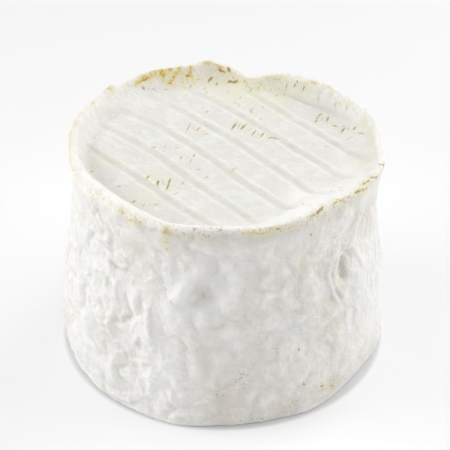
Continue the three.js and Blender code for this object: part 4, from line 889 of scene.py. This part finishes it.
verts = P_ROW.astype(np.float32)
loops = np.concatenate([QUADS.ravel(), TRIS.ravel()]).astype(np.int32)
sizes = np.concatenate([np.full(len(QUADS), 4), np.full(len(TRIS), 3)]).astype(np.int32)
starts = np.concatenate([[0], np.cumsum(sizes)[:-1]]).astype(np.int32)
mesh = bpy.data.meshes.new("cheese_rind")
mesh.vertices.add(len(verts))
mesh.vertices.foreach_set("co", verts.ravel())
mesh.loops.add(len(loops))
mesh.loops.foreach_set("vertex_index", loops)
mesh.polygons.add(len(sizes))
mesh.polygons.foreach_set("loop_start", starts)
mesh.polygons.foreach_set("loop_total", sizes)
mesh.update(calc_edges=True)
mesh.validate()
mesh.polygons.foreach_set("use_smooth", np.ones(len(sizes), bool))

for name, values in {"gold": gold, "brown": brown, "halo": halo, "warm_shade": warm_shade, "tint": tint, "hollow": hollow,
                     "olive_and_shade": olive_and_shade, "painted_light": painted_light, "speck": speck, "basin": basin, "gild": gild, "crease": crease, "crest": crest,
                     "dash_u": dash_u, "dash_v": dash_v, "dash_w": dash_w, "dash_k": dash_k}.items():
    layer = mesh.attributes.new(name, "FLOAT", "POINT")
    layer.data.foreach_set("value", values.astype(np.float32))

# ---- the atlas: front half and back half of the side, the dish with the lip, and the underside -----------------
PX = 1.0 / 1024.0
face_of_loop = np.repeat(np.arange(len(sizes)), sizes)
face_over = np.add.reduceat(OVER[loops], starts) / sizes
face_vert_max = np.maximum.reduceat(loops, starts)
face_is_under = face_vert_max > under_start + COLUMNS - 1
face_is_top = (face_over < 0.0) & ~face_is_under
cx = np.zeros(len(sizes)); cy = np.zeros(len(sizes))
np.add.at(cx, face_of_loop, P[loops, 0]); np.add.at(cy, face_of_loop, P[loops, 1])
face_deg = np.degrees(np.arctan2(cy, cx)) % 360.0
front = face_deg >= 180.0
loop_deg = DEG[loops]
loop_over = OVER[loops]
loop_front = front[face_of_loop]
unwrapped = np.where(loop_front, np.where(loop_deg < 90.0, loop_deg + 360.0, loop_deg), np.where(loop_deg > 270.0, loop_deg - 360.0, loop_deg))
span = float((side_end_over + FOOT_ROUND * math.pi / 2).max())
u_front = 6.0 + (unwrapped - 180.0) / 180.0 * 686.0
v_front = 6.0 + (1.0 - np.clip(loop_over / span, 0.0, 1.0)) * 326.0
u_back = 698.0 + np.clip(loop_over / span, 0.0, 1.0) * 320.0
v_back = 6.0 + unwrapped / 180.0 * 684.0
top_r = RADIUS[loops]
top_u = 346.0 + 7.4 * top_r * np.cos(np.radians(loop_deg))
top_v = 678.0 + 7.4 * top_r * np.sin(np.radians(loop_deg))
under_u = 857.0 + 3.55 * P[loops, 0]
under_v = 858.0 + 3.55 * P[loops, 1]
lt, lu = face_is_top[face_of_loop], face_is_under[face_of_loop]
uv = np.stack([np.where(lt, top_u, np.where(lu, under_u, np.where(loop_front, u_front, u_back))),
               np.where(lt, top_v, np.where(lu, under_v, np.where(loop_front, v_front, v_back)))], 1) * PX
uv_layer = mesh.uv_layers.new(name="OFBake")
uv_layer.data.foreach_set("uv", uv.astype(np.float32).ravel())

wheel = bpy.data.objects.new("cheese_rind", mesh)
bpy.context.scene.collection.objects.link(wheel)

# ---------------------------------------------------------------------------------------------------------------
# Rind material
# ---------------------------------------------------------------------------------------------------------------
def srgb(r, g, b):
    return tuple(((c / 255.0) / 12.92 if c <= 10.3 else ((c / 255.0 + 0.055) / 1.055) ** 2.4) for c in (r, g, b)) + (1.0,)


rind = bpy.data.materials.new("rind")
rind.use_nodes = True
tree = rind.node_tree
tree.nodes.clear()


def node(kind, **settings):
    n = tree.nodes.new(kind)
    for key, value in settings.items():
        if key == "inputs":
            for slot_name, v in value.items():
                n.inputs[slot_name].default_value = v
        else:
            setattr(n, key, value)
    return n


def wire(out, into):
    tree.links.new(out, into)


def math_node(operation, a, b=None, c=None, clamp=False):
    n = node("ShaderNodeMath", operation=operation, use_clamp=clamp)
    for i, x in enumerate((a, b, c)):
        if x is None:
            continue
        if isinstance(x, (int, float)):
            n.inputs[i].default_value = x
        else:
            wire(x, n.inputs[i])
    return n.outputs[0]


def attribute(name):
    return node("ShaderNodeAttribute", attribute_name=name).outputs["Fac"]


def step(value, low, high, to_low=0.0, to_high=1.0):
    n = node("ShaderNodeMapRange", interpolation_type="SMOOTHSTEP")
    wire(value, n.inputs["Value"])
    n.inputs["From Min"].default_value = low
    n.inputs["From Max"].default_value = high
    n.inputs["To Min"].default_value = to_low
    n.inputs["To Max"].default_value = to_high
    return n.outputs["Result"]


def mix(fac, a, b, blend="MIX"):
    n = node("ShaderNodeMix", data_type="RGBA", blend_type=blend)
    for x, slot_index in ((fac, 0), (a, 6), (b, 7)):
        if isinstance(x, (int, float)):
            n.inputs[slot_index].default_value = x
        elif isinstance(x, tuple):
            n.inputs[slot_index].default_value = x
        else:
            wire(x, n.inputs[slot_index])
    return n.outputs[2]


coords = node("ShaderNodeTexCoord").outputs["Object"]


def noise_node(size_mm, detail=2.0, roughness=0.5, distortion=0.0, shift=0.0):
    place = coords
    if shift:
        add = node("ShaderNodeVectorMath", operation="ADD")
        wire(coords, add.inputs[0])
        add.inputs[1].default_value = (shift, shift * 0.7, shift * 1.3)
        place = add.outputs[0]
    n = node("ShaderNodeTexNoise", inputs={"Scale": 1000.0 / size_mm, "Detail": detail, "Roughness": roughness, "Distortion": distortion})
    wire(place, n.inputs["Vector"])
    return n.outputs["Fac"]


WHITE = srgb(240, 239, 236)
# the white of the painted light and the painted highlights
LIT_WHITE = srgb(250, 249, 245)
WARM = srgb(236, 232, 226)
COOL = srgb(233, 237, 231)
PINK = srgb(239, 233, 231)
LILAC = srgb(234, 233, 236)
GREENISH = srgb(204, 204, 187)
SHADE_TAN = srgb(220, 213, 199)
DUSK = srgb(222, 219, 213)
CREAM_OLIVE = srgb(227, 224, 203)
PALE_GOLD, PALE_BUFF = srgb(236, 224, 174), srgb(230, 225, 204)
GOLD, BUFF = srgb(214, 182, 98), srgb(215, 202, 170)
BROWN, DUN = srgb(132, 104, 54), srgb(168, 152, 120)
OLIVE = srgb(193, 190, 160)
DARK_OLIVE = srgb(134, 129, 94)

broad = noise_node(14.0, 4.0, 0.6)
patches = noise_node(6.5, 4.0, 0.65, shift=0.31)
flecks = noise_node(3.4, 4.0, 0.7, shift=0.77)
flecks2 = noise_node(2.6, 3.0, 0.7, shift=0.23)
grain = noise_node(1.1, 3.0, 0.65, shift=0.12)
grain2 = noise_node(0.55, 2.0, 0.6, shift=0.51)
dust = noise_node(0.75, 3.0, 0.75, shift=0.63)

colour = mix(math_node("MULTIPLY", step(broad, 0.44, 0.64), 0.75), WHITE, WARM)
# painted shade: the dish is made a little greyer than the rim, most on its floor
colour = mix(math_node("MULTIPLY", attribute("basin"), 0.85), colour, srgb(222, 220, 215))
colour = mix(math_node("MULTIPLY", step(patches, 0.5, 0.64), 0.55), colour, COOL)
colour = mix(math_node("MULTIPLY", step(flecks, 0.52, 0.66), 0.7), colour, PINK)
colour = mix(math_node("MULTIPLY", step(flecks2, 0.54, 0.68), 0.5), colour, LILAC)
# fine dusty grain of the bloom
colour = mix(math_node("MULTIPLY", step(dust, 0.46, 0.30), 0.50), colour, DUSK)
# creamy olive patches of the dish and the side, which in the band inside the right crest are painted shade
colour = mix(math_node("MULTIPLY", step(math_node("ADD", attribute("olive_and_shade"), math_node("MULTIPLY", math_node("SUBTRACT", flecks, 0.5), 1.2)), 0.05, 0.95), 0.75), colour, CREAM_OLIVE)
# painted shade in a warm grey tan, partly a warm tint of the rind, with a broken edge
warm_shade_mask = step(math_node("ADD", attribute("warm_shade"), math_node("MULTIPLY", math_node("SUBTRACT", patches, 0.5), 0.8)), 0.0, 0.9)
colour = mix(math_node("MULTIPLY", warm_shade_mask, 0.9), colour, SHADE_TAN)
# painted shade in the hollows and painted highlight on the crests
hollow_at = attribute("hollow")
colour = mix(math_node("MULTIPLY", step(hollow_at, 0.1, 0.9), math_node("MULTIPLY_ADD", attribute("basin"), -0.3, 0.45)), colour, DUSK)
crest_highlight_share = math_node("MULTIPLY", math_node("SUBTRACT", 1.0, math_node("MULTIPLY", warm_shade_mask, 0.95), clamp=True), 0.55)
colour = mix(math_node("MULTIPLY", step(hollow_at, -0.1, -0.8), crest_highlight_share), colour, LIT_WHITE)
# painted shade along the creases of the folds and painted highlight along their crests
colour = mix(math_node("MULTIPLY", attribute("crease"), 0.55), colour, srgb(206, 200, 188))
colour = mix(math_node("MULTIPLY", attribute("crest"), 0.75), colour, LIT_WHITE)
# painted light: whiter rind on slopes, lobes and ridges the lamps leave too dark
colour = mix(math_node("MULTIPLY", attribute("painted_light"), 0.9), colour, LIT_WHITE)
# grooves
colour = mix(math_node("MULTIPLY", attribute("tint"), math_node("ADD", 0.33, math_node("MULTIPLY", grain, 0.34))), colour, GREENISH)

# dashes
du, dv, dw, dk = (attribute(k) for k in ("dash_u", "dash_v", "dash_w", "dash_k"))
wob = math_node("MULTIPLY", math_node("SUBTRACT", grain2, 0.5), 1.6)
dist = math_node("SQRT", math_node("ADD", math_node("MULTIPLY", du, du), math_node("MULTIPLY", dv, dv)))
inside_zone = step(dw, 0.0, 0.12)
halo_dash = math_node("MULTIPLY", step(math_node("ADD", dist, math_node("MULTIPLY", math_node("SUBTRACT", grain, 0.5), 3.0)), 3.4, 0.8), step(dw, 0.0, 0.5))
colour = mix(math_node("MULTIPLY", math_node("MULTIPLY", halo_dash, dk), 0.60), colour, srgb(227, 224, 194))
core = math_node("MULTIPLY", step(math_node("ADD", dist, wob), 1.35, 0.6), inside_zone)
colour = mix(math_node("MULTIPLY", math_node("MULTIPLY", core, dk), 1.0, clamp=True), colour, OLIVE)
core2 = math_node("MULTIPLY", step(math_node("ADD", dist, wob), 0.95, 0.25), inside_zone)
colour = mix(math_node("MULTIPLY", math_node("MULTIPLY", core2, dk), 0.78, clamp=True), colour, DARK_OLIVE)

# rim stains
edge_noise = math_node("ADD", math_node("MULTIPLY", math_node("SUBTRACT", grain, 0.5), 1.3), math_node("MULTIPLY", math_node("SUBTRACT", grain2, 0.5), 0.9))
halo_mask = step(math_node("ADD", attribute("halo"), math_node("MULTIPLY", edge_noise, 0.8)), 0.25, 1.0)
colour = mix(math_node("MULTIPLY", halo_mask, 0.7), colour, srgb(232, 225, 194))
gold_at = math_node("ADD", attribute("gold"), math_node("MULTIPLY", edge_noise, 0.6))
gild_at = attribute("gild")
colour = mix(math_node("MULTIPLY", step(gold_at, 0.40, 0.75), 0.9), colour, mix(gild_at, PALE_BUFF, PALE_GOLD))
colour = mix(math_node("MULTIPLY", step(gold_at, 0.60, 1.0), 0.95), colour, mix(gild_at, BUFF, GOLD))
brown_at = math_node("ADD", attribute("brown"), math_node("MULTIPLY", edge_noise, 0.55))
colour = mix(math_node("MULTIPLY", step(brown_at, 0.42, 0.85), 0.9), colour, mix(gild_at, DUN, BROWN))
# crumbs and specks
speck_at = math_node("MULTIPLY", attribute("speck"), step(math_node("ADD", grain2, math_node("MULTIPLY", math_node("SUBTRACT", grain, 0.5), 0.9)), 0.55, 0.72))
colour = mix(math_node("MULTIPLY", speck_at, 0.7), colour, srgb(160, 146, 104))

bump_mix = math_node("ADD", math_node("MULTIPLY", noise_node(0.5, 3.0, 0.65, shift=0.9), 0.55),
                     math_node("ADD", math_node("MULTIPLY", noise_node(1.3, 3.0, 0.65, shift=0.4), 1.0), math_node("MULTIPLY", noise_node(2.8, 3.0, 0.6, shift=0.27), 1.1)))
bump = node("ShaderNodeBump", inputs={"Strength": 0.7, "Distance": 0.0008})
wire(bump_mix, bump.inputs["Height"])

shader = node("ShaderNodeBsdfPrincipled", inputs={"Roughness": 0.82, "Specular IOR Level": 0.22, "Subsurface Weight": 0.12,
                                                  "Subsurface Scale": 0.0012, "Sheen Weight": 0.12, "Sheen Roughness": 0.5})
shader.inputs["Subsurface Radius"].default_value = (1.0, 0.85, 0.65)
wire(colour, shader.inputs["Base Color"])
wire(bump.outputs["Normal"], shader.inputs["Normal"])
out = node("ShaderNodeOutputMaterial")
wire(shader.outputs[0], out.inputs["Surface"])
mesh.materials.append(rind)

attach(wheel, "root")
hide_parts("cheese_wheel")

# ---------------------------------------------------------------------------------------------------------------
# Floor, light, camera
# ---------------------------------------------------------------------------------------------------------------
scene = bpy.context.scene
scene.view_settings.view_transform = "Standard"
scene.view_settings.look = "None"

floor_mesh = bpy.data.meshes.new("floor")
F = 3.0
floor_mesh.from_pydata([(-F, -F, 0), (F, -F, 0), (F, F, 0), (-F, F, 0)], [], [(0, 1, 2, 3)])
floor = bpy.data.objects.new("floor", floor_mesh)
floor.location.z = -0.00005
scene.collection.objects.link(floor)
floor_material = bpy.data.materials.new("floor")
floor_material.use_nodes = True
ft = floor_material.node_tree
ft.nodes.clear()
FLOOR_DIFFUSE, FLOOR_GLOW, NEAR_GLOW = 0.60, 0.262, 0.055
fd = ft.nodes.new("ShaderNodeBsdfDiffuse")
fd.inputs["Color"].default_value = (FLOOR_DIFFUSE, FLOOR_DIFFUSE, FLOOR_DIFFUSE * 1.01, 1)
fe = ft.nodes.new("ShaderNodeEmission")
fe.inputs["Color"].default_value = (1, 1, 1, 1)
# the glow stands for light off the sweep; close to the foot it drops to a painted contact shadow, as if the wheel kept
# it from the floor there
fg = ft.nodes.new("ShaderNodeNewGeometry")
fl = ft.nodes.new("ShaderNodeVectorMath")
fl.operation = "LENGTH"
foot_shadow_ramp = ft.nodes.new("ShaderNodeMapRange")
foot_shadow_ramp.interpolation_type = "SMOOTHSTEP"
for slot_name, v in (("From Min", 0.0449), ("From Max", 0.0466), ("To Min", 0.10), ("To Max", FLOOR_GLOW + NEAR_GLOW)):
    foot_shadow_ramp.inputs[slot_name].default_value = v
ft.links.new(fg.outputs["Position"], fl.inputs[0])
ft.links.new(fl.outputs["Value"], foot_shadow_ramp.inputs["Value"])
far = ft.nodes.new("ShaderNodeMapRange")
far.interpolation_type = "SMOOTHSTEP"
for slot_name, v in (("From Min", 0.40), ("From Max", 0.72), ("To Min", 0.0), ("To Max", 0.93 - FLOOR_GLOW)):
    far.inputs[slot_name].default_value = v
ft.links.new(fl.outputs["Value"], far.inputs["Value"])
# the floor round the foot, which the soft boxes reach less, glows a little more than the floor beyond it
beyond = ft.nodes.new("ShaderNodeMapRange")
beyond.interpolation_type = "SMOOTHSTEP"
for slot_name, v in (("From Min", 0.075), ("From Max", 0.14), ("To Min", 0.0), ("To Max", -NEAR_GLOW)):
    beyond.inputs[slot_name].default_value = v
ft.links.new(fl.outputs["Value"], beyond.inputs["Value"])
total = foot_shadow_ramp.outputs["Result"]
for part in (far.outputs["Result"], beyond.outputs["Result"]):
    add = ft.nodes.new("ShaderNodeMath")
    add.operation = "ADD"
    ft.links.new(total, add.inputs[0])
    ft.links.new(part, add.inputs[1])
    total = add.outputs[0]
ft.links.new(total, fe.inputs["Strength"])
fa = ft.nodes.new("ShaderNodeAddShader")
fo = ft.nodes.new("ShaderNodeOutputMaterial")
ft.links.new(fd.outputs[0], fa.inputs[0])
ft.links.new(fe.outputs[0], fa.inputs[1])
ft.links.new(fa.outputs[0], fo.inputs["Surface"])
floor_mesh.materials.append(floor_material)

world = bpy.data.worlds.new("studio")
world.use_nodes = True
world.node_tree.nodes["Background"].inputs["Color"].default_value = (1.0, 1.0, 1.0, 1)
seen = world.node_tree.nodes.new("ShaderNodeLightPath").outputs["Is Camera Ray"]
level = world.node_tree.nodes.new("ShaderNodeMapRange")   # the sweep behind the floor: pale where seen, unlit otherwise
level.inputs["To Min"].default_value = 0.0
level.inputs["To Max"].default_value = 0.93
world.node_tree.links.new(seen, level.inputs["Value"])
world.node_tree.links.new(level.outputs["Result"], world.node_tree.nodes["Background"].inputs["Strength"])
scene.world = world


def soft_box(name, place, target, width, height, power, colour=(1.0, 1.0, 1.0)):
    light = bpy.data.lights.new(name, "AREA")
    light.shape = "RECTANGLE"
    light.size, light.size_y = width, height
    light.energy = power
    light.color = colour
    o = bpy.data.objects.new(name, light)
    o.location = place
    o.rotation_euler = (Vector(target) - Vector(place)).to_track_quat("-Z", "Y").to_euler()
    scene.collection.objects.link(o)
    o.visible_camera = False
    return o


AIM = Vector((0.0, 0.0, 0.035))
RIG_DISTANCE, RIG_SIZE = 0.75, 0.5
RIG = [("left", 180, 30, 3.62), ("left_front", 225, 30, 1.08), ("front", 270, 45, 0.73), ("right_front", 315, 30, 0.80),
       ("right", 0, 30, 2.70), ("right_back", 45, 35, 2.35), ("left_back", 135, 35, 0.60), ("over", 90, 88, 1.07)]
for name, azimuth, elevation, power in RIG:
    az_, el_ = math.radians(azimuth), math.radians(elevation)
    way = Vector((math.cos(el_) * math.cos(az_), math.cos(el_) * math.sin(az_), math.sin(el_)))
    soft_box("box_" + name, AIM + way * RIG_DISTANCE, AIM, RIG_SIZE, RIG_SIZE, power)

# camera: standing distance and height from the wheel's axis, fitted to the photographed outline
CAM_BACK, CAM_UP = 394.818, 300.301
CAM_PITCH, CAM_YAW, CAM_ROLL = 0.590673, 0.00092, -0.00784
LENS, SENSOR = 136.0, 36.0
forward = Vector((math.sin(CAM_YAW) * math.cos(CAM_PITCH), math.cos(CAM_YAW) * math.cos(CAM_PITCH), -math.sin(CAM_PITCH)))
right = Vector((math.cos(CAM_YAW), -math.sin(CAM_YAW), 0.0))
upward = right.cross(forward)
cr, sr = math.cos(CAM_ROLL), math.sin(CAM_ROLL)
image_right = cr * right - sr * upward
image_up = sr * right + cr * upward
camera_data = bpy.data.cameras.new("camera")
camera_data.lens, camera_data.sensor_width = LENS, SENSOR
camera = bpy.data.objects.new("camera", camera_data)
turn = Matrix((image_right, image_up, -forward)).transposed()
camera.matrix_world = Matrix.Translation(Vector((-BOX_CENTRE_X * MM, (-CAM_BACK - BOX_CENTRE_Y) * MM, CAM_UP * MM))) @ turn.to_4x4()
scene.collection.objects.link(camera)
scene.camera = camera
